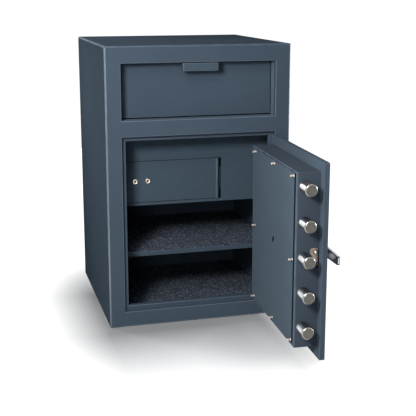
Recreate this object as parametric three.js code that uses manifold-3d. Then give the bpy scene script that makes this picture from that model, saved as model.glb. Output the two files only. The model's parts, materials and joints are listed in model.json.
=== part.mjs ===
// A deposit safe of welded steel plate: a tilting hopper above, a hinged door with five locking
// bolts below, and inside it a small locker and a shelf.
// Millimetres, +Z up. The origin is the middle of the base, on the floor. The front faces -Y.

import * as THREE from 'three';
import { RoundedBoxGeometry } from 'three/addons/geometries/RoundedBoxGeometry.js';
import { mergeVertices } from 'three/addons/utils/BufferGeometryUtils.js';
import Module from 'manifold-3d';

const wasm = await Module();
wasm.setup();

// General clearances
const FIT = 0.3; // between two pieces that touch, and around a pin in its bore
const RUN = 1; // around a piece that moves in an opening

// Cabinet
const CABINET_WIDTH = 508;
const CABINET_DEPTH = 508;
const CABINET_HEIGHT = 762;
const WALL = 6; // sides, roof, base and back
const FRONT_PLATE = 15; // frame around the two openings
const EDGE_RADIUS = 4; // outer edges of the cabinet
const SIDE_BAND = 42; // front frame beside the openings
const BOTTOM_BAND = 42.5; // front frame below the door
const MIDDLE_BAND = 42.5; // front frame between door and hopper
const TOP_BAND = 45; // front frame above the hopper
const HOPPER_OPENING = 150; // height of the hopper's opening
const STOP_STEP = 12; // how far the door stop stands into the opening
const STOP_LAP = 8; // how far it laps behind the front frame
const STOP_DEPTH = 16; // its size front to back
const ANCHOR_HOLE = 14; // diameter of the floor bolt holes
const ANCHOR_INSET = 70; // from the outside of the cabinet

// Hopper
const HOPPER_RECESS = 42; // from the front face back to the panel
const HOPPER_PANEL = 4; // panel thickness
const HOPPER_SILL_GAP = 2.5; // below the panel
const HOPPER_HEAD_GAP = 1.5; // above the panel
const SLEEVE_SHEET = 3; // lining of the recess
const HINGE_ROD = 10; // diameter
const ROD_RISE = 7.5; // rod axis above the panel's lower edge
const BUCKET_SHEET = 3;
const BUCKET_INSET = 3; // cheeks, in from the panel's side edges
const BUCKET_HEADROOM = 5; // between the cheeks' arc and the top of the opening
const TRAY_ANGLE = 105; // from the panel, in degrees: the closed tray slopes down to the rear
const PULL_WIDTH = 96;
const PULL_HEIGHT = 21;
const PULL_DROP = 0.9; // below the panel's top edge
const PULL_CHEEK = 25; // depth of its side cheeks
const PULL_SHEET = 3;
const PULL_OFFSET = 2; // right of the panel's middle

// Chute and baffle behind the hopper
const CHUTE_SHEET = 3;
const CEILING_DROP = 5.5; // underside of the chute, below the top of the door opening
const CHUTE_FLAT = 159; // length of its level part
const BAFFLE_SETBACK = 208; // from the front face
const BAFFLE_SHEET = 3;
const BAFFLE_GAP = 33; // its lower edge, above the hopper's opening

// Locker
const LOCKER_SETBACK = 105; // from the front face
const LOCKER_SHEET = 3;
const LOCKER_DROP = 206; // its lower edge, below the ceiling
const LOCKER_SILL = 9; // strip below the locker door
const LOCKER_DOOR_HEIGHT = 115;
const LOCKER_DOOR_WIDTH = 287;
const LOCKER_DOOR_INSET = 44; // from the cabinet's inner side
const LOCKER_HINGE_GAP = 5; // beside the locker door's hinge edge
const LOCKER_BOX_DEPTH = 237;
const LOCKER_LATCH_ROOM = 30; // inside the locker, beyond the door's free edge
const LOCKER_HINGE_ROOM = 22; // inside the locker, beyond the door's hinge edge
const LOCKER_HEADROOM = 3; // inside the locker, above its opening
const KNUCKLE_RADIUS = 4.5;
const KNUCKLE_PIN = 4; // diameter
const KNUCKLE_INSET = 6.5; // hinge axis, in from the door's edge
const KNUCKLE_PROUD = 1.5; // hinge axis, forward of the locker's face
const FIXED_KNUCKLE = 60.4; // length of the middle knuckle
const KNUCKLE_LEAF = 2; // sheet of its leaf
const LEAF_LAP = 14; // how far the leaf laps behind the face plate
const PIN_END = 2; // hinge pin, short of the door's ends
const KEY_PLUG = 12; // diameter
const KEY_PLUG_PROUD = 5; // in front of the locker door
const KEY_PLUG_PITCH = 35.5;
const KEY_PLUG_INSET = 44.5; // first plug, from the door's free edge
const KEY_PLUG_RISE = 60; // above the door's lower edge
const KEY_PLUG_TAIL = 4; // behind the door
const KEY_SLIT = [1.8, 7.2, 3]; // width, height and depth
const LOCK_CASE_ENDS = [16, 18]; // beyond the two plugs
const LOCK_CASE_FLANGE = 10; // above and below the latch
const LOCK_CASE_BACK = 4; // behind the latch
const LATCH_HEIGHT = 16;
const LATCH_SHEET = 6;
const LATCH_REACH = 22; // past the first plug

// Shelf and carpets
const SHELF_HEIGHT = 178.5; // top of the shelf, above the floor
const SHELF_SETBACK = 105;
const SHELF_LIP = 12.5; // height of its turned-down edges
const SHELF_SHEET = 3;
const RAIL_SIZE = 20; // leg of the two angle rails
const RAIL_SHEET = 3;
const CARPET = 3.5;
const CARPET_MARGIN = 2;

// Main door
const DOOR_GAP = 3; // around the closed door
const DOOR_PLATE = 12.7;
const DOOR_CORNER = 3; // radius of the plate's corners
const DOOR_OPEN = 87.3; // how far the door stands open, in degrees

// Barrel hinges
const BARREL_RADIUS = 16;
const BARREL_STANDOFF = 4.7; // between the barrel and the front face
const BARREL_ASIDE = 12.3; // hinge axis, beside the opening
const BARREL_LENGTH = 40; // fixed barrel
const DOOR_BARREL_LENGTH = 44.7;
const HINGE_PIN = 12; // diameter
const PIN_LENGTH = 40;
const LOW_HINGE_RISE = 39.5; // lower fixed barrel, above the door's lower edge
const HIGH_HINGE_DROP = 121.5; // upper fixed barrel, its foot below the door's top edge
const STRAP_LENGTH = 63; // on the door
const STRAP_SHEET = 6;

// Bolt box on the inner side of the door
const PAN_SHEET = 3;
const PAN_FREE_INSET = 23; // from the door's free edge
const PAN_HINGE_INSET = 24; // from the door's hinge edge
const PAN_TOP_INSET = 23.5;
const PAN_BOTTOM_INSET = 28.5;
const PAN_FLANGE = 9.5; // turned in along the free side
const PAN_GROOVE = 8.5; // between that flange and the cover
const COVER_SHEET = 2.5;
const COVER_GAP = 2.5; // between the cover and the other three walls
const SCREW_HEAD = 7; // diameter
const SCREW_PROUD = 10; // head height
const SCREW_SHANK = 5; // diameter
const SCREW_INSET = 5; // from the cover's free edge
const SCREW_MIDDLE = 0.472; // middle pair, as a share of the way from the first screws to the last
const SCREW_FAR_INSET = 21.75; // hinge-side screws, from the cover's hinge edge
const SCREW_END = 7; // rows, in from the cover's top and bottom edges
const SCREW_EDGE = 0.8; // chamfer of the head

// Locking bolts and the carrier that joins them
const BOLT_COUNT = 5;
const BOLT_DIAMETER = 30;
const BOLT_CHAMFER = 2;
const BOLT_REACH = 18; // past the door's free edge when thrown
const BOLT_TRAVEL = 36;
const BOLT_BEHIND_STOP = 2.7; // clearance behind the door stop
const BOLT_COVER_ROOM = 3; // between the bolts and the cover's flange
const BOLT_LOW_INSET = 49; // lowest bolt, above the box's lower edge
const BOLT_HIGH_INSET = 35; // highest bolt, below the box's top edge
const CARRIER_SETBACK = 35; // from the box's free side
const CARRIER_WIDTH = 10;
const CARRIER_END = 15; // beyond the outermost bolt axes
const ARM_SHEET = 4;
const GUIDE_SETBACK = 19; // bolt guide, from the box's free side
const GUIDE_SHEET = 4;
const GUIDE_FLANGE = 16; // under the cover's free edge, where its screws hold
const DEAD_BAR = 14; // thickness of the fixed bar on the hinge side
const DEAD_BAR_CLEAR = 5; // behind the door stop
const DEAD_BAR_EDGE = 2; // from the door's hinge edge

// Handle
const HANDLE_INSET = 120; // from the door's free edge
const HANDLE_DROP = 0.5; // below the middle of the door
const HANDLE_STANDOFF = 38; // outer face of the lever, in front of the door
const LEVER_THICKNESS = 8;
const LEVER_LENGTH = 104; // axis to tip
const LEVER_TIP = 21; // height at the tip
const LEVER_HUB = 28; // height at the hub
const LEVER_CORNER = 4;
const NECK_DIAMETER = 26;
const SPINDLE_DIAMETER = 16;
const ESCUTCHEON_DIAMETER = 54;
const ESCUTCHEON_SHEET = 4;
const HANDLE_TURN = 90; // degrees
const CRANK_START = 8; // behind the door plate's inner face
const CRANK_SHEET = 6;
const CRANK_PIN = 8; // diameter
const PIN_SLACK = 1.1; // in the carrier's slot, either side

// Combination lock
const DIAL_INSET = 209; // from the door's free edge
const DIAL_RISE = 32; // above the handle
const RING_DIAMETER = 84;
const RING_HEIGHT = 12;
const DIAL_DIAMETER = 72;
const DIAL_HEIGHT = 33; // in front of the door
const GRIP_DIAMETER = 44;
const DIAL_SPINDLE = 8; // diameter
const LOCK_CASE_WIDTH = 74;
const LOCK_CASE_HEIGHT = 90;
const LOCK_CASE_DEPTH = 30;
const LOCK_BOLT_WIDTH = 13;
const LOCK_BOLT_DEPTH = 10;
const LOCK_BOLT_LENGTH = 23.5;
const LOCK_BOLT_SHOWS = 3.5; // below the case when drawn back
const CHANGE_KEY_ASIDE = 7.5; // keyhole for changing the combination, from the dial's axis
const CHANGE_KEY_DROP = 20.5;
const CHANGE_KEY_RADIUS = 3.5;
const CHANGE_KEY_SLOT = [[-1.5, 0], [1.5, 0], [8.5, -10], [5.5, -10]]; // slanted slot below the round

// Trigger on the free side of the bolt box
const TRIGGER_SHEET = 2.7;
const TRIGGER_DEPTH = 10; // its rivet, from the door plate
const TRIGGER_RISE = 15; // its rivet, above the middle bolt
const RIVET_DIAMETER = 10;
const RIVET_SHANK = 4.4;
const NOTCH_HEIGHT = 32; // notch in the box wall below the trigger
const NOTCH_DEPTH = 7;
const STOP_PIN = 4; // diameter
const STOP_PIN_DROP = 29; // below the rivet
const STOP_PIN_LENGTH = 6;
const TRIGGER_OUTLINE = [ // across and up from its rivet
  [-6, 9], [4, 10], [11, 9.5], [13.5, 6], [13.5, -2], [9.5, -8], [3, -18], [-3, -26], [-6, -24.5], [-6, -8],
];

// Finishes
const paint = new THREE.MeshStandardMaterial({ color: 0x52606e, roughness: 0.42, metalness: 0 });
const steel = new THREE.MeshStandardMaterial({ color: 0xb4b3ae, roughness: 0.35, metalness: 1 });
const zinc = new THREE.MeshStandardMaterial({ color: 0xa49c88, roughness: 0.45, metalness: 1 });
const chrome = new THREE.MeshStandardMaterial({ color: 0xdcdcdc, roughness: 0.08, metalness: 1 });
const brass = new THREE.MeshStandardMaterial({ color: 0xb99a5a, roughness: 0.3, metalness: 1 });
const black = new THREE.MeshStandardMaterial({ color: 0x16171a, roughness: 0.35, metalness: 0 });
const carpet = new THREE.MeshStandardMaterial({ color: 0x2e3033, roughness: 1, metalness: 0 });

const radians = THREE.MathUtils.degToRad;

// A closed three.js geometry as a solid that can be joined and cut.
function solid(geometry) {
  const bare = new THREE.BufferGeometry();
  bare.setAttribute('position', geometry.getAttribute('position'));
  if (geometry.index) bare.setIndex(geometry.index);
  const merged = mergeVertices(bare, 1e-4);
  return new wasm.Manifold(new wasm.Mesh({
    numProp: 3,
    vertProperties: merged.getAttribute('position').array,
    triVerts: new Uint32Array(merged.index.array),
  }));
}

const join = (...shapes) => shapes.reduce((all, next) => all.add(next));
const cut = (shape, ...tools) => tools.reduce((rest, tool) => rest.subtract(tool), shape);

// A block between a low and a high value along each axis.
function block([x0, x1], [y0, y1], [z0, z1]) {
  const geometry = new THREE.BoxGeometry(x1 - x0, y1 - y0, z1 - z0);
  geometry.translate((x0 + x1) / 2, (y0 + y1) / 2, (z0 + z1) / 2);
  return solid(geometry);
}

// Turns a geometry drawn across z so that its depth runs along another axis. An outline is then
// given in y and z for the x axis, and in x and z for the y axis.
function lay(geometry, axis) {
  const x = new THREE.Vector3(1, 0, 0);
  const y = new THREE.Vector3(0, 1, 0);
  const z = new THREE.Vector3(0, 0, 1);
  const turn = new THREE.Matrix4();
  if (axis === 'x') turn.makeBasis(y, z, x);
  if (axis === 'y') turn.makeBasis(x, z, y.clone().negate());
  return geometry.applyMatrix4(turn);
}

// A flat outline, extruded along an axis.
function extrude(outline, axis, [from, to]) {
  const shape = new THREE.Shape(outline.map(([a, b]) => new THREE.Vector2(a, b)));
  const geometry = new THREE.ExtrudeGeometry(shape, { depth: to - from, bevelEnabled: false });
  geometry.translate(0, 0, axis === 'y' ? -to : from);
  return solid(lay(geometry, axis));
}

// A round bar along an axis, with its centre given in the other two.
function rod(radius, axis, [a, b], [from, to], sides = 32) {
  const geometry = new THREE.CylinderGeometry(radius, radius, to - from, sides);
  geometry.rotateX(Math.PI / 2);
  geometry.translate(a, b, (axis === 'y' ? -1 : 1) * (from + to) / 2);
  return solid(lay(geometry, axis));
}

// A turned piece: its profile gives radius and place along the y axis.
function turned(profile, sides = 40) {
  return solid(new THREE.LatheGeometry(profile.map(([r, y]) => new THREE.Vector2(r, y)), sides));
}

// Points on an arc, from one angle to another in degrees, counted from a towards b.
function arc([a, b], radius, from, to, steps) {
  return Array.from({ length: steps + 1 }, (_, i) => {
    const angle = radians(from + (to - from) * i / steps);
    return [a + radius * Math.cos(angle), b + radius * Math.sin(angle)];
  });
}

// The outline of a rectangle with rounded corners.
function roundedOutline([a0, a1], [b0, b1], radius, steps = 3) {
  return [
    ...arc([a1 - radius, b1 - radius], radius, 0, 90, steps),
    ...arc([a0 + radius, b1 - radius], radius, 90, 180, steps),
    ...arc([a0 + radius, b0 + radius], radius, 180, 270, steps),
    ...arc([a1 - radius, b0 + radius], radius, 270, 360, steps),
  ];
}

// Adds a solid to a group as a named mesh.
function addPart(group, name, shape, material, [x, y, z] = [0, 0, 0]) {
  const made = shape.getMesh();
  const indexed = new THREE.BufferGeometry();
  indexed.setAttribute('position', new THREE.BufferAttribute(new Float32Array(made.vertProperties), 3));
  indexed.setIndex(new THREE.BufferAttribute(new Uint32Array(made.triVerts), 1));
  const geometry = indexed.toNonIndexed();
  geometry.computeVertexNormals();
  const mesh = new THREE.Mesh(geometry, material);
  mesh.name = name;
  mesh.position.set(x, y, z);
  group.add(mesh);
  return mesh;
}

// Adds a nested group at a place.
function addGroup(parent, [x, y, z]) {
  const group = new THREE.Group();
  group.position.set(x, y, z);
  parent.add(group);
  return group;
}

// The cabinet's frame: x runs right from its left side, y runs in from its front face.
const safe = new THREE.Group();
const cabinet = addGroup(safe, [-CABINET_WIDTH / 2, -CABINET_DEPTH / 2, 0]);

const innerX = [WALL, CABINET_WIDTH - WALL];
const backInside = CABINET_DEPTH - WALL;
const openX = [SIDE_BAND, CABINET_WIDTH - SIDE_BAND];
const hopperTop = CABINET_HEIGHT - TOP_BAND;
const hopperBottom = hopperTop - HOPPER_OPENING;
const openTop = hopperBottom - MIDDLE_BAND;
const openBottom = BOTTOM_BAND;
const stopBack = FRONT_PLATE + STOP_DEPTH;

// Widens a pair of limits by the same amount at both ends.
const wider = ([low, high], by) => [low - by, high + by];

// Cabinet plates, all cut from one rounded block so that their outer edges run on.
const envelope = solid(new RoundedBoxGeometry(
  CABINET_WIDTH, CABINET_DEPTH, CABINET_HEIGHT, 3, EDGE_RADIUS,
).translate(CABINET_WIDTH / 2, CABINET_DEPTH / 2, CABINET_HEIGHT / 2));
const outerPlate = (x, y, z) => block(x, y, z).intersect(envelope);
const plateY = [FRONT_PLATE, backInside];

addPart(cabinet, 'side_wall_left', outerPlate([0, WALL], plateY, [0, CABINET_HEIGHT]), paint);
addPart(cabinet, 'side_wall_right',
  outerPlate([innerX[1], CABINET_WIDTH], plateY, [0, CABINET_HEIGHT]), paint);
addPart(cabinet, 'roof_plate', outerPlate(innerX, plateY, [CABINET_HEIGHT - WALL, CABINET_HEIGHT]), paint);
addPart(cabinet, 'back_plate',
  outerPlate([0, CABINET_WIDTH], [backInside, CABINET_DEPTH], [0, CABINET_HEIGHT]), paint);

const anchors = [];
for (const x of [ANCHOR_INSET, CABINET_WIDTH - ANCHOR_INSET]) {
  for (const y of [ANCHOR_INSET, CABINET_DEPTH - ANCHOR_INSET]) {
    anchors.push(rod(ANCHOR_HOLE / 2, 'z', [x, y], [-RUN, WALL + RUN], 20));
  }
}
addPart(cabinet, 'base_plate', cut(outerPlate(innerX, plateY, [0, WALL]), ...anchors), paint);

const throughFront = [-RUN, FRONT_PLATE + RUN];
addPart(cabinet, 'front_frame', cut(
  outerPlate([0, CABINET_WIDTH], [0, FRONT_PLATE], [0, CABINET_HEIGHT]),
  block(openX, throughFront, [openBottom, openTop]),
  block(openX, throughFront, [hopperBottom, hopperTop]),
), paint);

// Door stop: a bar frame welded behind the opening, standing into it all round.
addPart(cabinet, 'door_stop_lip', cut(
  block(wider(openX, STOP_LAP), [FRONT_PLATE, stopBack], wider([openBottom, openTop], STOP_LAP)),
  block(wider(openX, -STOP_STEP), [0, stopBack + RUN], wider([openBottom, openTop], -STOP_STEP)),
), paint);

// Lining of the hopper's recess, ending just in front of the panel.
const hopperZ = [hopperBottom, hopperTop];
addPart(cabinet, 'hopper_sleeve', cut(
  block(wider(openX, SLEEVE_SHEET), [FRONT_PLATE, HOPPER_RECESS - RUN], wider(hopperZ, SLEEVE_SHEET)),
  block(openX, [0, HOPPER_RECESS], hopperZ),
), paint);

// The hopper turns on a rod between the cabinet's sides. Its group sits on the rod's axis.
const rodRadius = HINGE_ROD / 2;
const rodY = HOPPER_RECESS + HOPPER_PANEL + FIT + rodRadius;
const rodZ = hopperBottom + HOPPER_SILL_GAP + ROD_RISE;
addPart(cabinet, 'hopper_hinge_rod', rod(rodRadius, 'x', [rodY, rodZ], innerX, 24), steel);

const hopper = addGroup(cabinet, [0, rodY, rodZ]);
const panelX = wider(openX, -RUN);
const panelFront = HOPPER_RECESS - rodY;
const panelBack = panelFront + HOPPER_PANEL;
const panelTop = hopperTop - HOPPER_HEAD_GAP - rodZ;
addPart(hopper, 'hopper_panel', block(panelX, [panelFront, panelBack], [-ROD_RISE, panelTop]), paint);

// Pull: a folded strip, flush with the cabinet's face and open below for the fingers.
const pullMiddle = CABINET_WIDTH / 2 + PULL_OFFSET;
const pullX = [pullMiddle - PULL_WIDTH / 2, pullMiddle + PULL_WIDTH / 2];
const pullZ = [panelTop - PULL_DROP - PULL_HEIGHT, panelTop - PULL_DROP];
addPart(hopper, 'pull_tab', join(
  block(pullX, [-rodY, panelFront], [pullZ[1] - PULL_SHEET, pullZ[1]]),
  block(pullX, [-rodY, PULL_SHEET - rodY], pullZ),
  block([pullX[0], pullX[0] + PULL_SHEET], [-rodY, PULL_CHEEK - rodY], pullZ),
  block([pullX[1] - PULL_SHEET, pullX[1]], [-rodY, PULL_CHEEK - rodY], pullZ),
), paint);

// Bucket: a tray that passes under the rod, between two cheeks with an arc about the rod.
const bucketRadius = hopperTop - rodZ - BUCKET_HEADROOM;
const trayAngle = radians(TRAY_ANGLE);
const trayTop = -(rodRadius + 2 * FIT);
// A point at a distance out along the tray and a height off the line through the rod's axis.
const onTray = (out, up) => [
  out * Math.sin(trayAngle) - up * Math.cos(trayAngle),
  out * Math.cos(trayAngle) + up * Math.sin(trayAngle),
];
// The same, where a line along the tray at that height meets the back of the panel.
const trayAtPanel = (up) => onTray((panelBack + up * Math.cos(trayAngle)) / Math.sin(trayAngle), up);
const meetAngle = 90 - THREE.MathUtils.radToDeg(Math.asin(panelBack / bucketRadius));
const cheekOutline = [
  trayAtPanel(trayTop - BUCKET_SHEET),
  ...arc([0, 0], bucketRadius, meetAngle, 90 - TRAY_ANGLE, 14),
  onTray(bucketRadius, trayTop - BUCKET_SHEET),
];
const trayOutline = [
  trayAtPanel(trayTop - BUCKET_SHEET),
  trayAtPanel(trayTop),
  onTray(bucketRadius, trayTop),
  onTray(bucketRadius, trayTop - BUCKET_SHEET),
];
const bucketX = wider(panelX, -BUCKET_INSET);
addPart(hopper, 'hopper_bucket', cut(
  join(
    extrude(cheekOutline, 'x', [bucketX[0], bucketX[0] + BUCKET_SHEET]),
    extrude(cheekOutline, 'x', [bucketX[1] - BUCKET_SHEET, bucketX[1]]),
    extrude(trayOutline, 'x', bucketX),
  ),
  rod(rodRadius + FIT, 'x', [0, 0], wider(bucketX, RUN), 24),
), paint);

// Ceiling of the door compartment, which slopes down behind as the deposit chute.
const ceiling = openTop - CEILING_DROP;
const lockerBottom = ceiling - LOCKER_DROP;
const lockerFace = LOCKER_SETBACK;
const lockerFaceBack = lockerFace + LOCKER_SHEET;
const lockerDoorZ = [
  lockerBottom + LOCKER_SILL + RUN,
  lockerBottom + LOCKER_SILL + RUN + LOCKER_DOOR_HEIGHT,
];
const lockerBoxTop = lockerDoorZ[1] + RUN + LOCKER_HEADROOM + LOCKER_SHEET;
const lockerBoxBack = lockerFaceBack + LOCKER_BOX_DEPTH;
const chuteBend = stopBack + CHUTE_FLAT;
const chuteFall = Math.atan2(ceiling - lockerBoxTop - FIT, lockerBoxBack - chuteBend);
const slopeSheet = CHUTE_SHEET / Math.cos(chuteFall);
addPart(cabinet, 'chute_plate', extrude([
  [stopBack, ceiling],
  [chuteBend, ceiling],
  [lockerBoxBack, lockerBoxTop + FIT],
  [lockerBoxBack, lockerBoxTop + FIT + slopeSheet],
  [chuteBend, ceiling + CHUTE_SHEET],
  [stopBack, ceiling + CHUTE_SHEET],
], 'x', innerX), paint);

// Baffle against fishing, hung from the roof behind the bucket.
addPart(cabinet, 'fishing_baffle', block(
  innerX, [BAFFLE_SETBACK, BAFFLE_SETBACK + BAFFLE_SHEET],
  [hopperBottom + BAFFLE_GAP, CABINET_HEIGHT - WALL],
), paint);

// Locker: a full-width face plate with a folded box behind its door opening.
const lockerDoorX = [innerX[0] + LOCKER_DOOR_INSET, innerX[0] + LOCKER_DOOR_INSET + LOCKER_DOOR_WIDTH];
const lockerOpenX = [lockerDoorX[0] - RUN, lockerDoorX[1] + LOCKER_HINGE_GAP];
addPart(cabinet, 'locker_front_panel', cut(
  block(innerX, [lockerFace, lockerFaceBack], [lockerBottom, ceiling]),
  block(lockerOpenX, wider([lockerFace, lockerFaceBack], RUN), wider(lockerDoorZ, RUN)),
), paint);

const lockerInnerX = [lockerDoorX[0] - LOCKER_LATCH_ROOM, lockerDoorX[1] + LOCKER_HINGE_ROOM];
const lockerInnerZ = [lockerBottom + 2 * LOCKER_SHEET, lockerBoxTop - LOCKER_SHEET];
addPart(cabinet, 'locker_box', cut(
  block(wider(lockerInnerX, LOCKER_SHEET), [lockerFaceBack, lockerBoxBack],
    wider(lockerInnerZ, LOCKER_SHEET)),
  block(lockerInnerX, [lockerFace, lockerBoxBack - LOCKER_SHEET], lockerInnerZ),
), paint);

// Locker hinge: a fixed middle knuckle with its leaf behind the face plate, and the pin.
const knuckleX = lockerDoorX[1] - KNUCKLE_INSET;
const knuckleY = lockerFace - KNUCKLE_PROUD;
const knuckleMiddle = (lockerDoorZ[0] + lockerDoorZ[1]) / 2;
const fixedZ = wider([knuckleMiddle, knuckleMiddle], FIXED_KNUCKLE / 2);
const leafBack = lockerFaceBack + KNUCKLE_LEAF;
addPart(cabinet, 'locker_hinge_leaf', join(
  rod(KNUCKLE_RADIUS, 'z', [knuckleX, knuckleY], fixedZ, 20),
  rod(KNUCKLE_PIN / 2, 'z', [knuckleX, knuckleY], wider(lockerDoorZ, -PIN_END), 16),
  block(wider([knuckleX, knuckleX], KNUCKLE_LEAF), [knuckleY, leafBack], fixedZ),
  block([knuckleX - KNUCKLE_LEAF, lockerOpenX[1] + LEAF_LAP], [lockerFaceBack, leafBack], fixedZ),
), steel);

// Locker door, in a group on its hinge axis.
const lockerDoor = addGroup(cabinet, [knuckleX, knuckleY, 0]);
const leafX = [lockerDoorX[0] - knuckleX, lockerDoorX[1] - knuckleX];
const leafY = [lockerFace - knuckleY, lockerFaceBack - knuckleY];
const lowKnuckleZ = [lockerDoorZ[0], fixedZ[0] - FIT];
const highKnuckleZ = [fixedZ[1] + FIT, lockerDoorZ[1]];
const plugX = [leafX[0] + KEY_PLUG_INSET, leafX[0] + KEY_PLUG_INSET + KEY_PLUG_PITCH];
const plugZ = lockerDoorZ[0] + KEY_PLUG_RISE;
const plugBore = (x) => rod(KEY_PLUG / 2 + FIT, 'y', [x, plugZ], wider(leafY, RUN), 24);
addPart(lockerDoor, 'locker_door', cut(
  join(
    cut(block(leafX, leafY, lockerDoorZ),
      block([-KNUCKLE_RADIUS - FIT, leafX[1] + RUN], wider(leafY, RUN), wider(fixedZ, FIT))),
    rod(KNUCKLE_RADIUS, 'z', [0, 0], lowKnuckleZ, 20),
    rod(KNUCKLE_RADIUS, 'z', [0, 0], highKnuckleZ, 20),
  ),
  rod(KNUCKLE_PIN / 2 + FIT, 'z', [0, 0], wider(lockerDoorZ, RUN), 16),
  ...plugX.map(plugBore),
), paint);

// Lock case on the locker door's back, with a channel for the sliding latch.
const plugBack = leafY[1] + KEY_PLUG_TAIL;
const latchY = [plugBack + FIT, plugBack + FIT + LATCH_SHEET];
const latchZ = [plugZ - LATCH_HEIGHT / 2, plugZ + LATCH_HEIGHT / 2];
const latchX = [leafX[0] + RUN, plugX[0] + LATCH_REACH];
const caseX = [plugX[0] - LOCK_CASE_ENDS[0], plugX[1] + LOCK_CASE_ENDS[1]];
addPart(lockerDoor, 'locker_lock_case', cut(
  block(caseX, [leafY[1] + FIT, latchY[1] + LOCK_CASE_BACK], wider(latchZ, LOCK_CASE_FLANGE)),
  block([caseX[0] - RUN, latchX[1] + RUN], wider(latchY, FIT), wider(latchZ, FIT)),
  rod(KEY_PLUG / 2 + FIT, 'y', [plugX[0], plugZ], [0, latchY[0]], 24),
  rod(KEY_PLUG / 2 + FIT, 'y', [plugX[1], plugZ], [0, latchY[0]], 24),
), zinc);
addPart(lockerDoor, 'locker_latch', block(latchX, latchY, latchZ), steel);

// Two key plugs with their key slits, each on its own axis.
const plugFront = leafY[0] - KEY_PLUG_PROUD;
const plugShape = cut(
  rod(KEY_PLUG / 2, 'y', [0, 0], [plugFront, plugBack - FIT], 28),
  block(wider([0, 0], KEY_SLIT[0] / 2), [plugFront - RUN, plugFront + KEY_SLIT[2]],
    wider([0, 0], KEY_SLIT[1] / 2)),
);
addPart(lockerDoor, 'key_plug_left', plugShape, brass, [plugX[0], 0, plugZ]);
addPart(lockerDoor, 'key_plug_right', plugShape, brass, [plugX[1], 0, plugZ]);

// Shelf with its edges turned down, on two angle rails.
const shelfFoot = SHELF_HEIGHT - SHELF_LIP;
const shelfX = wider(innerX, -RUN);
const shelfY = [SHELF_SETBACK, backInside - CARPET_MARGIN];
addPart(cabinet, 'middle_shelf', cut(
  block(shelfX, shelfY, [shelfFoot, SHELF_HEIGHT]),
  block(wider(shelfX, -SHELF_SHEET), wider(shelfY, -SHELF_SHEET),
    [shelfFoot - RUN, SHELF_HEIGHT - SHELF_SHEET]),
), paint);
addPart(cabinet, 'shelf_carpet', block(
  wider(shelfX, -CARPET_MARGIN), wider(shelfY, -CARPET_MARGIN / 2),
  [SHELF_HEIGHT + FIT, SHELF_HEIGHT + FIT + CARPET],
), carpet);
addPart(cabinet, 'floor_carpet', block(
  wider(innerX, -CARPET_MARGIN), [FRONT_PLATE + CARPET_MARGIN, backInside - CARPET_MARGIN],
  [WALL + FIT, WALL + FIT + CARPET],
), carpet);

const railY = wider(shelfY, -SHELF_SHEET - RUN);
const railZ = [shelfFoot - RAIL_SIZE, shelfFoot];
const flangeZ = [shelfFoot - RAIL_SHEET, shelfFoot];
addPart(cabinet, 'shelf_rail_left', join(
  block([innerX[0], innerX[0] + RAIL_SHEET], railY, railZ),
  block([innerX[0], innerX[0] + RAIL_SIZE], railY, flangeZ),
), paint);
addPart(cabinet, 'shelf_rail_right', join(
  block([innerX[1] - RAIL_SHEET, innerX[1]], railY, railZ),
  block([innerX[1] - RAIL_SIZE, innerX[1]], railY, flangeZ),
), paint);

// Barrel hinges. The axis stands in front of the face, beside the opening.
const hingeX = openX[1] + BARREL_ASIDE;
const hingeY = -(BARREL_RADIUS + BARREL_STANDOFF);
const doorZ = wider([openBottom, openTop], -DOOR_GAP);
const hingeFeet = { bottom: doorZ[0] + LOW_HINGE_RISE, top: doorZ[1] - HIGH_HINGE_DROP };
for (const [place, foot] of Object.entries(hingeFeet)) {
  addPart(cabinet, 'hinge_post_' + place, join(
    rod(BARREL_RADIUS, 'z', [hingeX, hingeY], [foot, foot + BARREL_LENGTH]),
    block([hingeX - 10, hingeX + BARREL_RADIUS - 1], [hingeY, 0], [foot, foot + BARREL_LENGTH]),
    rod(HINGE_PIN / 2, 'z', [hingeX, hingeY], [foot, foot + BARREL_LENGTH + PIN_LENGTH], 24),
  ), paint);
}

// The door swings in a group on that axis. In the door's own frame x runs from its free edge to
// its hinge edge, y runs in from the plate's inner face, and z is the cabinet's.
const swing = addGroup(cabinet, [hingeX, hingeY, 0]);
swing.rotation.z = radians(DOOR_OPEN);
const door = addGroup(swing, [openX[0] + DOOR_GAP - hingeX, DOOR_PLATE - hingeY, 0]);
const doorWidth = openX[1] - openX[0] - 2 * DOOR_GAP;
const axisX = hingeX - openX[0] - DOOR_GAP;
const axisY = hingeY - DOOR_PLATE;

const handleZ = (doorZ[0] + doorZ[1]) / 2 - HANDLE_DROP;
const dialZ = handleZ + DIAL_RISE;
const outerFace = -DOOR_PLATE;
const throughDoor = wider([outerFace, 0], RUN);
addPart(door, 'door_plate', cut(
  extrude(roundedOutline([0, doorWidth], doorZ, DOOR_CORNER), 'y', [outerFace, 0]),
  rod(SPINDLE_DIAMETER / 2 + FIT, 'y', [HANDLE_INSET, handleZ], throughDoor, 24),
  rod(DIAL_SPINDLE / 2 + RUN, 'y', [DIAL_INSET, dialZ], throughDoor, 20),
), paint);

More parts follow.
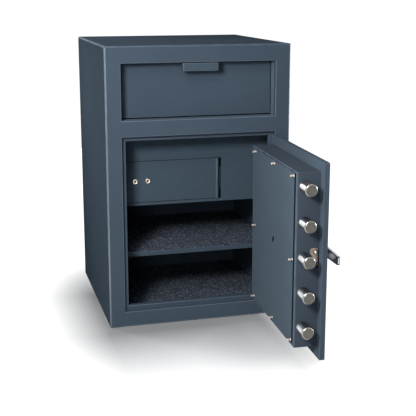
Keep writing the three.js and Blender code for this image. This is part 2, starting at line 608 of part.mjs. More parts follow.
const strapFace = outerFace - FIT;
for (const [place, foot] of Object.entries(hingeFeet)) {
  const from = foot + BARREL_LENGTH + FIT;
  const barrelZ = [from, from + DOOR_BARREL_LENGTH];
  const strapOutline = [
    [doorWidth - STRAP_LENGTH, strapFace],
    [doorWidth, strapFace],
    [doorWidth + 4, strapFace - 1.5],
    [axisX, axisY + BARREL_RADIUS - FIT],
    [axisX, axisY],
    [axisX - BARREL_RADIUS * 0.85, axisY + BARREL_RADIUS * 0.45],
    [doorWidth - 7, strapFace - STRAP_SHEET],
    [doorWidth - STRAP_LENGTH, strapFace - STRAP_SHEET],
  ];
  addPart(door, 'hinge_strap_' + place, cut(
    join(rod(BARREL_RADIUS, 'z', [axisX, axisY], barrelZ), extrude(strapOutline, 'z', barrelZ)),
    rod(HINGE_PIN / 2 + FIT, 'z', [axisX, axisY], [from - RUN, foot + BARREL_LENGTH + PIN_LENGTH + RUN], 24),
  ), paint);
}

// Bolt box: four walls on the door plate, with a flange turned in along the free side.
const boltY = stopBack + BOLT_BEHIND_STOP + BOLT_DIAMETER / 2 - DOOR_PLATE;
const boltRadius = BOLT_DIAMETER / 2;
const panDepth = boltY + boltRadius + BOLT_COVER_ROOM + PAN_SHEET;
const panX = [PAN_FREE_INSET, doorWidth - PAN_HINGE_INSET];
const panZ = [doorZ[0] + PAN_BOTTOM_INSET, doorZ[1] - PAN_TOP_INSET];
const boltLow = panZ[0] + BOLT_LOW_INSET;
const boltHigh = panZ[1] - BOLT_HIGH_INSET;
const boltZ = Array.from({ length: BOLT_COUNT },
  (_, i) => boltLow + (boltHigh - boltLow) * i / Math.max(1, BOLT_COUNT - 1));
const middleBolt = (boltLow + boltHigh) / 2;
const triggerZ = middleBolt + TRIGGER_RISE;
const freeWall = [panX[0] - RUN, panX[0] + PAN_SHEET + RUN];
const boltBore = (x) => (z) => rod(boltRadius + FIT, 'x', [boltY, z], x);
const notchTop = middleBolt + 7;
addPart(door, 'bolt_pan', cut(
  block(panX, [FIT, panDepth], panZ),
  block(wider(panX, -PAN_SHEET), [0, panDepth - PAN_SHEET], wider(panZ, -PAN_SHEET)),
  block([panX[0] + PAN_FLANGE, panX[1] - PAN_SHEET], [0, panDepth + RUN], wider(panZ, -PAN_SHEET)),
  block(freeWall, [0, NOTCH_DEPTH], [notchTop - NOTCH_HEIGHT, notchTop]),
  ...boltZ.map(boltBore(freeWall)),
), paint);

// Cover plate, held off the box's walls by the grooves around it, on eight long screws.
const coverX = [panX[0] + PAN_FLANGE + PAN_GROOVE, panX[1] - PAN_SHEET - COVER_GAP / 2];
const coverZ = wider(panZ, -PAN_SHEET - COVER_GAP);
const coverY = [panDepth - COVER_SHEET, panDepth];
const throughCover = wider(coverY, RUN);
const screwRows = [coverZ[0] + SCREW_END, (coverZ[0] + coverZ[1]) / 2, coverZ[1] - SCREW_END];
const screwEnds = [coverX[0] + SCREW_INSET, coverX[1] - SCREW_FAR_INSET];
const screwColumns = [
  screwEnds[0], screwEnds[0] + (screwEnds[1] - screwEnds[0]) * SCREW_MIDDLE, screwEnds[1],
];
const screwPlaces = screwColumns.flatMap((x, column) => screwRows
  .filter((_, row) => column !== 1 || row !== 1)
  .map((z) => [x, z]));
// Keyhole for changing the combination, over the lock case.
const changeKey = [DIAL_INSET - CHANGE_KEY_ASIDE, dialZ - CHANGE_KEY_DROP];
addPart(door, 'cover_plate', cut(
  block(coverX, coverY, coverZ),
  rod(CHANGE_KEY_RADIUS, 'y', changeKey, throughCover, 16),
  extrude(CHANGE_KEY_SLOT.map(([x, z]) => [changeKey[0] + x, changeKey[1] + z]), 'y', throughCover),
  ...screwPlaces.map((place) => rod(SCREW_SHANK / 2 + FIT, 'y', place, throughCover, 16)),
), paint);
// A screw from its foot to its head. Those along the free side end in the guide's flange, short
// of the bolts; the others reach the door plate.
const screwShape = (foot) => turned([
  [0, foot], [SCREW_SHANK / 2, foot], [SCREW_SHANK / 2, panDepth + FIT], [SCREW_HEAD / 2, panDepth + FIT],
  [SCREW_HEAD / 2, panDepth + SCREW_PROUD - SCREW_EDGE],
  [SCREW_HEAD / 2 - SCREW_EDGE, panDepth + SCREW_PROUD],
  [0, panDepth + SCREW_PROUD],
], 16);
const flangeY = [boltY + boltRadius + 2 * FIT, coverY[0] - FIT];
const longScrew = screwShape(FIT);
const shortScrew = screwShape(flangeY[0]);
screwPlaces.forEach(([x, z], i) => {
  addPart(door, 'cover_screw_' + (i + 1), x === screwColumns[0] ? shortScrew : longScrew, steel, [x, 0, z]);
});

// Guide plate inside the box, which holds the bolts' inner ends square.
const guideX = [panX[0] + GUIDE_SETBACK, panX[0] + GUIDE_SETBACK + GUIDE_SHEET];
addPart(door, 'bolt_guide', cut(
  join(
    block(guideX, [FIT, flangeY[1]], wider(panZ, -PAN_SHEET - FIT)),
    block([guideX[0], guideX[0] + GUIDE_FLANGE], flangeY, wider(panZ, -PAN_SHEET - FIT)),
  ),
  ...boltZ.map(boltBore(wider(guideX, RUN))),
  ...screwPlaces.map((place) => rod(SCREW_SHANK / 2 + FIT, 'y', place, [0, panDepth], 16)),
), zinc);

// Fixed bar on the hinge side, which passes behind the door stop as the door shuts.
const deadBarY = stopBack + DEAD_BAR_CLEAR - DOOR_PLATE;
addPart(door, 'dead_bar', block(
  [panX[1] + FIT, doorWidth - DEAD_BAR_EDGE], [deadBarY, deadBarY + DEAD_BAR], wider(panZ, -2),
), paint);

// Boltwork: five bolts in front of an upright carrier bar with one long arm.
const carrierX = [panX[0] + CARRIER_SETBACK, panX[0] + CARRIER_SETBACK + CARRIER_WIDTH];
const boltLength = carrierX[0] - FIT + BOLT_REACH;
const boltShape = turned([
  [0, 0], [boltRadius - BOLT_CHAMFER, 0], [boltRadius, BOLT_CHAMFER], [boltRadius, boltLength],
  [0, boltLength],
], 32).rotate([0, 0, -90]);
boltZ.forEach((z, i) => {
  addPart(door, 'locking_bolt_' + (i + 1), boltShape, steel, [-BOLT_REACH, boltY, z]);
});

const crankRadius = BOLT_TRAVEL / (2 * Math.sin(radians(HANDLE_TURN / 2)));
const crankSide = crankRadius * Math.sin(radians(HANDLE_TURN / 2));
const crankDown = crankRadius * Math.cos(radians(HANDLE_TURN / 2));
const crankEnd = CRANK_START + CRANK_SHEET;
const armY = [crankEnd + 3, crankEnd + 3 + ARM_SHEET];
const caseZ = [dialZ - LOCK_CASE_HEIGHT / 2, dialZ + LOCK_CASE_HEIGHT / 2];
const armEnd = DIAL_INSET - LOCK_BOLT_WIDTH - 6;
const armTop = caseZ[0] - LOCK_BOLT_SHOWS - 1.5;
const slotX = HANDLE_INSET - crankSide;
const slotHalf = CRANK_PIN / 2 + PIN_SLACK;
const armFoot = handleZ - crankRadius - CRANK_PIN - 6;
addPart(door, 'bolt_carrier', cut(
  join(
    block(carrierX, [armY[0], boltY + boltRadius - 1], [boltLow - CARRIER_END, boltHigh + CARRIER_END]),
    extrude([
      [carrierX[0], armFoot], [armEnd, armFoot], [armEnd, armTop], [HANDLE_INSET + 10, armTop],
      [HANDLE_INSET + 2, handleZ - 11], [carrierX[0], handleZ - 11],
    ], 'y', armY),
  ),
  block([slotX - slotHalf, slotX + slotHalf], wider(armY, RUN),
    [handleZ - crankRadius - CRANK_PIN / 2 - RUN, handleZ]),
), zinc);

// Handle: lever and neck outside, spindle through the plate, crank and pin inside.
const handle = addGroup(door, [HANDLE_INSET, 0, handleZ]);
const leverY = [outerFace - HANDLE_STANDOFF, outerFace - HANDLE_STANDOFF + LEVER_THICKNESS];
addPart(handle, 'handle_lever', extrude([
  ...arc([0, 0], LEVER_HUB / 2, -88, 88, 10),
  ...arc([LEVER_CORNER - LEVER_LENGTH, LEVER_TIP / 2 - LEVER_CORNER], LEVER_CORNER, 90, 180, 3),
  ...arc([LEVER_CORNER - LEVER_LENGTH, LEVER_CORNER - LEVER_TIP / 2], LEVER_CORNER, 180, 270, 3),
], 'y', leverY), chrome);
const escutcheonY = [outerFace - FIT - ESCUTCHEON_SHEET, outerFace - FIT];
const neckY = [leverY[1] + FIT, escutcheonY[0] - FIT];
addPart(handle, 'handle_spindle', join(
  rod(NECK_DIAMETER / 2, 'y', [0, 0], neckY, 28),
  rod(SPINDLE_DIAMETER / 2, 'y', [0, 0], [neckY[0], crankEnd], 24),
  rod(10, 'y', [0, 0], [CRANK_START, crankEnd], 24),
  rod(6.5, 'y', [-crankSide, -crankDown], [CRANK_START, crankEnd], 20),
  extrude([[-6, 6], [6, -6], [4.5 - crankSide, -4.5 - crankDown], [-4.5 - crankSide, 4.5 - crankDown]],
    'y', [CRANK_START, crankEnd]),
  rod(CRANK_PIN / 2, 'y', [-crankSide, -crankDown], [CRANK_START, armY[1] + 2], 16),
), chrome);
addPart(door, 'handle_escutcheon', cut(
  rod(ESCUTCHEON_DIAMETER / 2, 'y', [HANDLE_INSET, handleZ], escutcheonY),
  rod(SPINDLE_DIAMETER / 2 + FIT, 'y', [HANDLE_INSET, handleZ], wider(escutcheonY, RUN), 24),
), chrome);

// Combination lock: dial in its ring outside, case and lock bolt inside.
const ringFloor = outerFace - FIT - 3.5;
const ringTop = outerFace - FIT - RING_HEIGHT;
const spindleBore = DIAL_SPINDLE / 2 + RUN;
const ringRadius = RING_DIAMETER / 2;
const wellRadius = DIAL_DIAMETER / 2 + 1.5;
addPart(door, 'dial_ring', turned([
  [spindleBore, ringFloor], [wellRadius, ringFloor], [wellRadius, ringTop], [ringRadius - 2, ringTop],
  [ringRadius, ringTop + 3], [ringRadius, outerFace - FIT], [spindleBore, outerFace - FIT],
  [spindleBore, ringFloor],
]), black, [DIAL_INSET, 0, dialZ]);

const dialBack = ringFloor - FIT;
const dialFront = outerFace - DIAL_HEIGHT;
const gripRadius = GRIP_DIAMETER / 2;
const flutes = arc([0, 0], gripRadius + 1.5, 0, 330, 11)
  .map((centre) => rod(3, 'y', centre, [dialFront - RUN, dialFront + 13], 10));
addPart(door, 'dial_knob', cut(turned([
  [0, dialFront], [gripRadius - 2, dialFront], [gripRadius, dialFront + 2], [gripRadius, dialFront + 14],
  [DIAL_DIAMETER / 2, dialFront + 18], [DIAL_DIAMETER / 2, dialBack], [DIAL_SPINDLE / 2, dialBack],
  [DIAL_SPINDLE / 2, 10], [0, 10],
]), ...flutes), black, [DIAL_INSET, 0, dialZ]);

const caseSide = [DIAL_INSET - LOCK_CASE_WIDTH / 2, DIAL_INSET + LOCK_CASE_WIDTH / 2];
const lockBoltX = [armEnd + 3, armEnd + 3 + LOCK_BOLT_WIDTH];
const lockBoltY = [armY[0] - 3, armY[0] - 3 + LOCK_BOLT_DEPTH];
const lockBoltFoot = caseZ[0] - LOCK_BOLT_SHOWS;
addPart(door, 'lock_case', cut(
  block(caseSide, [FIT, LOCK_CASE_DEPTH], caseZ),
  rod(spindleBore, 'y', [DIAL_INSET, dialZ], [0, 12], 20),
  block(wider(lockBoltX, FIT), wider(lockBoltY, FIT),
    [caseZ[0] - RUN, lockBoltFoot + LOCK_BOLT_LENGTH + RUN]),
), zinc);
addPart(door, 'lock_bolt',
  block(lockBoltX, lockBoltY, [lockBoltFoot, lockBoltFoot + LOCK_BOLT_LENGTH]), brass);

// Trigger: a small pressed lever on a ball-headed rivet, outside the box's free side.
const triggerX = [panX[0] - FIT - TRIGGER_SHEET, panX[0] - FIT];
const trigger = addGroup(door, [0, TRIGGER_DEPTH, triggerZ]);
addPart(trigger, 'trigger_lever', cut(
  extrude(TRIGGER_OUTLINE, 'x', triggerX),
  rod(RIVET_SHANK / 2 + FIT, 'x', [0, 0], wider(triggerX, RUN), 16),
), zinc);
const domeX = triggerX[0] - FIT;
const domeRadius = RIVET_DIAMETER / 2;
const dome = solid(new THREE.SphereGeometry(domeRadius, 16, 12).translate(domeX, 0, 0))
  .intersect(block([domeX - domeRadius - RUN, domeX], [-domeRadius, domeRadius], [-domeRadius, domeRadius]));
addPart(door, 'trigger_rivet', join(
  dome,
  rod(RIVET_SHANK / 2, 'x', [0, 0], [domeX - 1, triggerX[1]], 16),
), steel, [0, TRIGGER_DEPTH, triggerZ]);
addPart(door, 'trigger_stop_pin',
  rod(STOP_PIN / 2, 'y', [triggerX[0] - 1, triggerZ - STOP_PIN_DROP], [FIT, STOP_PIN_LENGTH], 14), brass);

export default safe;
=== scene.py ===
import json
import math
import random
from itertools import product

import bmesh
import bpy
from mathutils import Matrix, Vector


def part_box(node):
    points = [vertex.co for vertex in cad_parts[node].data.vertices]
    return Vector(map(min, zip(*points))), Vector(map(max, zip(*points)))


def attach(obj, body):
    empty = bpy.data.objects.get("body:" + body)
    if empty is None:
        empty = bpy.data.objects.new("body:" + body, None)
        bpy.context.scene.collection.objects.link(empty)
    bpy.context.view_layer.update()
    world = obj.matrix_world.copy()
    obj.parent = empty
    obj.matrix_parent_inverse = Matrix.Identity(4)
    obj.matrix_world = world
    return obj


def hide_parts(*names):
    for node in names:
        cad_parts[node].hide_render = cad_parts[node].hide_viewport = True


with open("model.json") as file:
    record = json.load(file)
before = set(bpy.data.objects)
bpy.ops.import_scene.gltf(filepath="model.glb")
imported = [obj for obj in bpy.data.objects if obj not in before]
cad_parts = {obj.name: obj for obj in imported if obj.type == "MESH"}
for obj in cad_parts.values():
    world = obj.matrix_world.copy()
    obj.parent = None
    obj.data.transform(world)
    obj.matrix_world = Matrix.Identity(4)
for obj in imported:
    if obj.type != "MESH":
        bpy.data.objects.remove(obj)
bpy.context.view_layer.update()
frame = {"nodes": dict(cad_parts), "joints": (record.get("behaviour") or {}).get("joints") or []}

scene = bpy.context.scene
scene.view_settings.view_transform = "Standard"
random.seed(11)
MM = 0.001

# Spaces of the cabinet and the door
# Pieces are sized and placed in millimetres in one of two spaces. In the cabinet's, x runs right from
# its left side, y runs in from its front face and z up. In the door's, x runs from its free edge to
# its hinge edge, y runs in from the inner face of its plate, and z is the cabinet's.
HINGE_TO_FREE_EDGE, HINGE_TO_PLATE = 433.3, 33.4  # from its axis, to the plate's inner face
SWING = next(joint for joint in frame["joints"] if joint["name"] == "door_swing")
DOOR_OPEN = -math.radians(SWING["range_deg"][0])
HINGE = Matrix.Translation((SWING["pos_m"][0], SWING["pos_m"][1], 0))
CABINET = Matrix.Translation(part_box("front_frame")[0])
DOOR = (HINGE @ Matrix.Rotation(DOOR_OPEN, 4, "Z")
        @ Matrix.Translation((-HINGE_TO_FREE_EDGE * MM, HINGE_TO_PLATE * MM, 0)))

# Turns that point a piece's own +Z out of one side
OUT_FREE = Matrix.Rotation(math.radians(-90), 4, "Y")  # out of the door's free edge
OUT_FRONT = Matrix.Rotation(math.radians(90), 4, "X")  # out of the front
OUT_BACK = Matrix.Rotation(math.radians(-90), 4, "X")  # out of the bolt box


def placed(space, x, y, z, turn=None):
    """The place in a space of a piece with its own origin."""
    return space @ Matrix.Translation((x * MM, y * MM, z * MM)) @ (turn or Matrix.Identity(4))


def extent(node, space):
    """A CAD node's lowest and highest corners in a space, to the nearest thousandth."""
    into = space.inverted()
    corners = [into @ vert.co / MM for vert in frame["nodes"][node].data.vertices]
    return [Vector([round(pick(corner[axis] for corner in corners), 3) for axis in range(3)])
            for pick in (min, max)]


# Camera and lamps, placed in metres
CAMERA_PLACE = (-0.6091, -2.5451, 0.9024)
CAMERA_DOWN, CAMERA_TURN = 12.43, 15.39  # degrees below level, and from straight ahead to the right
CAMERA_LENS, CAMERA_SHIFT = 77.5, -0.05

camera = bpy.data.objects.new("camera", bpy.data.cameras.new("camera"))
camera.data.sensor_width = 36
camera.data.lens = CAMERA_LENS
camera.data.shift_y = CAMERA_SHIFT
camera.data.clip_end = 500
camera.location = CAMERA_PLACE
camera.rotation_euler = (math.radians(90 - CAMERA_DOWN), 0, math.radians(-CAMERA_TURN))
scene.collection.objects.link(camera)
scene.camera = camera


def lamp(name, place, target, size, watts, spread=180):
    """A rectangular area lamp at a place, turned to a target."""
    data = bpy.data.lights.new(name, "AREA")
    data.shape = "RECTANGLE"
    data.size, data.size_y = size
    data.energy = watts
    data.spread = math.radians(spread)
    obj = bpy.data.objects.new(name, data)
    obj.location = place
    obj.rotation_euler = (Vector(target) - Vector(place)).to_track_quat("-Z", "Y").to_euler()
    scene.collection.objects.link(obj)


lamp("key", (-0.84, -1.5, 1.1), (0.15, -0.4, 0.4), (0.3, 0.3), 18)
lamp("key_high", (-0.55, -1.2, 1.5), (0.24, -0.5, 0.4), (0.4, 0.4), 3.6)
lamp("key_low", (-0.7, -1.9, 0.5), (0.2, -0.4, 0.3), (0.4, 0.4), 2.6)
lamp("left_high", (-1.2, 0.8, 1.5), (-0.25, 0.05, 0.56), (0.3, 0.3), 0.54, spread=35)
lamp("overhead", (0.0, -0.1, 2.8), (0, -0.1, 0.3), (1.6, 1.6), 11)
lamp("right", (2.4, 0.0, 0.7), (0.2, 0.0, 0.4), (1.0, 0.8), 32)
lamp("back", (-0.2, 2.6, 0.33), (0, 0, 0.4), (1.2, 0.8), 34)

# Shader nodes
MOST = (0.3, 0.7)  # the range that holds most of a noise's values
CORE = (0.35, 0.65)  # and the middle of it
WHITE = (1, 1, 1, 1)


class Tree:
    """A material's or world's nodes, with short calls to add and join them."""

    def __init__(self, owner):
        owner.use_nodes = True
        self.nodes, self.links = owner.node_tree.nodes, owner.node_tree.links
        self.nodes.clear()

    def add(self, kind, settings=None, **inputs):
        """A new node. An input is called i and its number, or its name with _ for each space, and
        takes another node's output or a plain value."""
        made = self.nodes.new(kind)
        for key, value in (settings or {}).items():
            setattr(made, key, value)
        for key, value in inputs.items():
            numbered = key[0] == "i" and key[1:].isdigit()
            socket = made.inputs[int(key[1:]) if numbered else key.replace("_", " ")]
            if isinstance(value, bpy.types.NodeSocket):
                self.links.new(value, socket)
            else:
                socket.default_value = value
        return made

    def maths(self, how, a, b=0.0):
        return self.add("ShaderNodeMath", {"operation": how}, i0=a, i1=b).outputs[0]

    def total(self, first, *others):
        for other in others:
            first = self.maths("ADD", first, other)
        return first

    def vector(self, how, a, b):
        return self.add("ShaderNodeVectorMath", {"operation": how}, i0=a, i1=b).outputs[0]

    def dot(self, a, b):
        made = self.add("ShaderNodeVectorMath", {"operation": "DOT_PRODUCT"}, i0=a, i1=b)
        return made.outputs["Value"]

    def length(self, a):
        return self.add("ShaderNodeVectorMath", {"operation": "LENGTH"}, i0=a).outputs["Value"]

    def combined(self, x, y):
        return self.add("ShaderNodeCombineXYZ", i0=x, i1=y, i2=0.0).outputs[0]

    def span(self, value, low, high, to_low, to_high):
        """A value from low to high as one from to_low to to_high."""
        inputs = dict(i0=value, i1=low, i2=high, i3=to_low, i4=to_high)
        return self.add("ShaderNodeMapRange", **inputs).outputs[0]

    def sway(self, noise, to_low, to_high, within=MOST):
        """A noise as one that runs from to_low to to_high."""
        return self.span(noise, *within, to_low, to_high)

    def mix(self, factor, a, b):
        return self.add("ShaderNodeMix", {"data_type": "RGBA"}, i0=factor, i6=a, i7=b).outputs[2]

    def noise(self, place, scale, detail, rough=0.5):
        inputs = dict(Vector=place, Scale=scale, Detail=detail, Roughness=rough)
        return self.add("ShaderNodeTexNoise", **inputs).outputs[0]

    def by_ray(self, unseen, seen):
        """The shader seen for rays that show the background, from the camera or by way of gloss or
        glass, and the shader unseen for the rest."""
        path = self.add("ShaderNodeLightPath")
        shows = self.maths("MAXIMUM", path.outputs["Is Camera Ray"], path.outputs["Is Glossy Ray"])
        shows = self.maths("MAXIMUM", shows, path.outputs["Is Transmission Ray"])
        made = self.add("ShaderNodeMixShader", i0=shows, i1=unseen.outputs[0], i2=seen.outputs[0])
        return made.outputs[0]


def linear(r, g, b):
    """An sRGB colour, each channel up to 255, as Blender's linear one."""
    return tuple((c / 12.92 if c <= 0.04045 else ((c + 0.055) / 1.055) ** 2.4)
                 for c in (r / 255, g / 255, b / 255)) + (1,)


def shade(colour, factor, lift=0.0):
    """A colour made lighter or darker, and no lighter than white."""
    return tuple(min(1.0, c * factor + lift) for c in colour[:3]) + (1,)


# World: a little soft light, and white where it is seen
SOFT_LIGHT, SOFT_COLOUR = 0.03, (0.93, 0.96, 1, 1)

world = bpy.data.worlds.new("studio")
scene.world = world
tree = Tree(world)
soft = tree.add("ShaderNodeBackground", Color=SOFT_COLOUR, Strength=SOFT_LIGHT)
white = tree.add("ShaderNodeBackground", Color=WHITE, Strength=1.0)
tree.add("ShaderNodeOutputWorld", i0=tree.by_ray(soft, white))

# Floor, in metres
# It is lifted to white where it is seen, except near the object, where the lamps' own shadow shows and the
# missing lift paints more shadow. The painted shadow is whole on a rectangle and fades past its sides, and a
# second painted shadow lies in a round pool beside the door.
FLOOR_RADIUS = 200
FLOOR_COLOUR = (0.44, 0.445, 0.45, 1)
SHADOW_LEFT_FRONT, SHADOW_RIGHT_REAR = (-0.26, -0.30), (0.16, 0.03)  # the rectangle's corners
LEFT_FRONT_RATE, RIGHT_REAR_RATE = (2.1, 0.82), (2.5, 1)  # how fast it fades past them, in x and in y
SHADOW_FADE, FULL_LIFT = 0.38, 1.04
SHADOW_POOL_PLACE, SHADOW_POOL_RATE = (0.116, -0.54), (1, 0.9)
SHADOW_POOL_RADIUS, SHADOW_POOL_DEPTH = 0.2, 0.23


def floor_finish():
    made = bpy.data.materials.new("floor")
    tree = Tree(made)
    ground = tree.add("ShaderNodeTexCoord").outputs["Object"]
    # The third numbers keep the height out of each distance.
    before = tree.vector("SUBTRACT", (*SHADOW_LEFT_FRONT, -1), ground)
    before = tree.vector("MULTIPLY", before, (*LEFT_FRONT_RATE, 1))
    after = tree.vector("SUBTRACT", ground, (*SHADOW_RIGHT_REAR, 1))
    after = tree.vector("MULTIPLY", after, (*RIGHT_REAR_RATE, 1))
    past = tree.vector("MAXIMUM", tree.vector("MAXIMUM", after, before), (0, 0, 0))
    parts = tree.add("ShaderNodeSeparateXYZ", i0=past).outputs
    # Halfway between the straight distance and the sum of x and y, which cuts the shadow's corners off.
    past = tree.maths("MULTIPLY", tree.total(tree.length(past), tree.total(parts[0], parts[1])), 0.5)
    pool = tree.vector("SUBTRACT", ground, (*SHADOW_POOL_PLACE, 0))
    pool = tree.length(tree.vector("MULTIPLY", pool, (*SHADOW_POOL_RATE, 0)))
    lift = tree.maths("SUBTRACT", tree.span(past, 0.0, SHADOW_FADE, 0.0, FULL_LIFT),
                      tree.span(pool, 0.0, SHADOW_POOL_RADIUS, SHADOW_POOL_DEPTH, 0.0))
    pale = tree.add("ShaderNodeBsdfDiffuse", Color=FLOOR_COLOUR)
    glow = tree.add("ShaderNodeEmission", Color=WHITE, Strength=tree.maths("MAXIMUM", lift, 0.0))
    lifted = tree.add("ShaderNodeAddShader", i0=pale.outputs[0], i1=glow.outputs[0])
    tree.add("ShaderNodeOutputMaterial", i0=tree.by_ray(pale, lifted))
    return made


# Finishes
# Noise scales are in features per metre, and bump heights in metres.
# The pale band along a rim, which these set, is a painted highlight.
HIGHLIGHT_FROM, HIGHLIGHT_FULL = 2.4, 0.8  # how far below a rubbed rim the wear starts, and is whole


def finish_of(name):
    made = bpy.data.materials.new(name)
    tree = Tree(made)
    return made, tree, tree.add("ShaderNodeTexCoord").outputs["Object"]


def close(tree, height, distance, strength, **inputs):
    """Ends a material in a Principled shader with a bump."""
    bump = tree.add("ShaderNodeBump", Strength=strength, Distance=distance, Height=height)
    shader = tree.add("ShaderNodeBsdfPrincipled", Normal=bump.outputs[0], **inputs)
    tree.add("ShaderNodeOutputMaterial", i0=shader.outputs[0])


def paint(name, colour, rough=0.74, peel=1.0, gloss_level=0.0, rim=None):
    """Baked powder paint: drifts, clouds and grain of tone over a fine orange peel. With a rim, a pale band
    is painted along the edge that stands so many millimetres off the door's plate, patchy as if scuffed, as
    a painted highlight."""
    made, tree, place = finish_of(name)
    drift = tree.noise(place, scale=5.0, detail=3.0)
    cloud = tree.noise(place, scale=38.0, detail=4.0, rough=0.6)
    grain = tree.noise(place, scale=1500.0, detail=1.0)
    tone = tree.total(tree.sway(drift, 0.25, 0.75), tree.sway(cloud, -0.12, 0.12),
                      tree.sway(grain, -0.22, 0.22))
    base = tree.mix(tone, shade(colour, 0.90), shade(colour, 1.10))
    if rim:
        inward = DOOR.to_3x3().col[1]
        edge = DOOR.translation.dot(inward) + rim * MM
        rim_highlight = tree.span(tree.dot(place, inward), edge - HIGHLIGHT_FROM * MM, edge - HIGHLIGHT_FULL * MM, 0.0, 1.0)
        rim_highlight = tree.maths("MULTIPLY", rim_highlight, tree.span(cloud, 0.3, 0.6, 0.55, 1.0))
        base = tree.mix(rim_highlight, base, shade(colour, 2.1))
    gloss = tree.total(tree.sway(cloud, rough - 0.04, rough + 0.05), tree.sway(grain, -0.03, 0.03))
    height = tree.total(tree.noise(place, scale=420.0, detail=2.0), tree.maths("MULTIPLY", grain, 0.35))
    close(tree, height, distance=0.00005 * peel, strength=1.0, Base_Color=base, Roughness=gloss,
          Specular_IOR_Level=gloss_level)
    return made


def rubbed(name, colour, smooth=0.2, gloss_level=0.9):
    """The same paint on rounded edges, painted paler and smoother in patches as a highlight."""
    made, tree, place = finish_of(name)
    cloud = tree.noise(place, scale=22.0, detail=4.0, rough=0.6)
    grain = tree.noise(place, scale=260.0, detail=2.0)
    highlight_patches = tree.total(tree.sway(cloud, 0.0, 0.75, CORE), tree.sway(grain, -0.25, 0.25, CORE))
    base = tree.mix(tree.span(highlight_patches, 0.0, 1.0, 0.0, 1.0), shade(colour, 1.25), shade(colour, 1.9, 0.01))
    gloss = tree.span(highlight_patches, 0.0, 1.0, smooth + 0.16, smooth)
    close(tree, grain, distance=0.00004, strength=0.6, Base_Color=base, Roughness=gloss,
          Specular_IOR_Level=gloss_level)
    return made


def metal(name, colour, rough, stain=None, scale=260.0):
    """Plain or plated metal with cloudy stains and a fine uneven gloss."""
    made, tree, place = finish_of(name)
    cloud = tree.noise(place, scale=scale * 0.4, detail=4.0, rough=0.6)
    fine = tree.noise(place, scale=scale * 6, detail=2.0)
    base = tree.mix(tree.span(cloud, 0.35, 0.7, 0.0, 1.0), colour, stain or shade(colour, 0.78))
    gloss = tree.total(tree.sway(cloud, rough * 0.8, rough * 1.25), tree.sway(fine, -0.03, 0.03))
    close(tree, fine, distance=0.00004, strength=0.7, Base_Color=base, Roughness=gloss, Metallic=1.0)
    return made


def turned_metal(name, colour, rough, pitch=0.00045, drawn=0.9, highlight_at=None):
    """Metal turned on a lathe about the piece's own Z, with its tool marks a pitch in metres apart.
    With highlight_at, a highlight is painted along its side at that angle in degrees."""
    made, tree, place = finish_of(name)
    parts = tree.add("ShaderNodeSeparateXYZ", i0=place).outputs
    around = tree.combined(tree.length(tree.combined(parts[0], parts[1])), parts[2])
    rings = tree.noise(around, scale=1 / pitch, detail=2.0, rough=0.6)
    broad = tree.noise(around, scale=0.22 / pitch, detail=2.0, rough=0.6)
    cloud = tree.noise(place, scale=120.0, detail=3.0)
    tone = tree.total(tree.sway(rings, 0.15, 0.85), tree.sway(broad, -0.35, 0.25),
                      tree.sway(cloud, -0.12, 0.12))
    base = tree.mix(tone, shade(colour, 0.62), shade(colour, 1.12))
    if highlight_at is not None:
        angle = tree.maths("ARCTAN2", parts[1], parts[0])
        off = tree.maths("ABSOLUTE", tree.maths("SUBTRACT", angle, math.radians(highlight_at)))
        off = tree.total(off, tree.sway(broad, -0.06, 0.06))
        bright = tree.maths("MULTIPLY", tree.span(off, 0.16, 0.42, 1.0, 0.0), tree.sway(rings, 0.8, 1.0))
        base = tree.mix(bright, base, (0.93, 0.93, 0.93, 1))
    gloss = tree.total(tree.sway(rings, rough * 0.75, rough * 1.3), tree.sway(cloud, -0.04, 0.04))
    height = tree.total(rings, tree.maths("MULTIPLY", broad, 1.5))
    tangent = tree.add("ShaderNodeTangent", {"direction_type": "RADIAL", "axis": "Z"}).outputs[0]
    close(tree, height, distance=0.00003, strength=0.8, Base_Color=base, Roughness=gloss, Metallic=1.0,
          Anisotropic=drawn, Anisotropic_Rotation=0.25, Tangent=tangent)
    return made


def pile(name, dark, pale, fleck):
    """Needled carpet: matted dark fibres with pale flecks and black gaps."""
    made, tree, place = finish_of(name)
    broad = tree.noise(place, scale=30.0, detail=3.0)
    tuft = tree.noise(place, scale=300.0, detail=3.0, rough=0.7)
    fibre = tree.noise(place, scale=1300.0, detail=3.0, rough=0.7)
    spots = tree.add("ShaderNodeTexVoronoi", {"feature": "F1"}, Vector=place, Scale=290.0, Randomness=1.0)
    spot = tree.add("ShaderNodeSeparateColor", i0=spots.outputs["Color"]).outputs[0]
    tone = tree.total(tree.sway(tuft, 0.0, 0.7, CORE), tree.sway(fibre, -0.1, 0.3),
                      tree.sway(broad, -0.15, 0.15))
    base = tree.mix(tone, dark, pale)
    base = tree.mix(tree.span(spot, 0.80, 0.94, 0.0, 0.85), base, fleck)
    base = tree.mix(tree.span(spot, 0.02, 0.22, 0.75, 0.0), base, shade(dark, 0.35))
    height = tree.total(tuft, tree.maths("MULTIPLY", fibre, 0.6))
    close(tree, height, distance=0.0012, strength=1.0, Base_Color=base, Roughness=1.0,
          Specular_IOR_Level=0.1, Sheen_Weight=0.05, Sheen_Roughness=0.6)
    return made


BODY_PAINT = linear(78, 92, 106)
INNER_PAINT = linear(76, 91, 104)
DOOR_PAINT = linear(82, 96, 110)
# The bolt box's paint is the body's made darker, which paints shade on it.
SHADED_BOX_PAINT = linear(76, 87, 99)
# The cover's paint is the body's made lighter, which paints light on the cover and on the plate's inner
# face.
LIT_COVER_PAINT = linear(94, 109, 122)
BOX_DEPTH = extent("bolt_pan", DOOR)[1].y
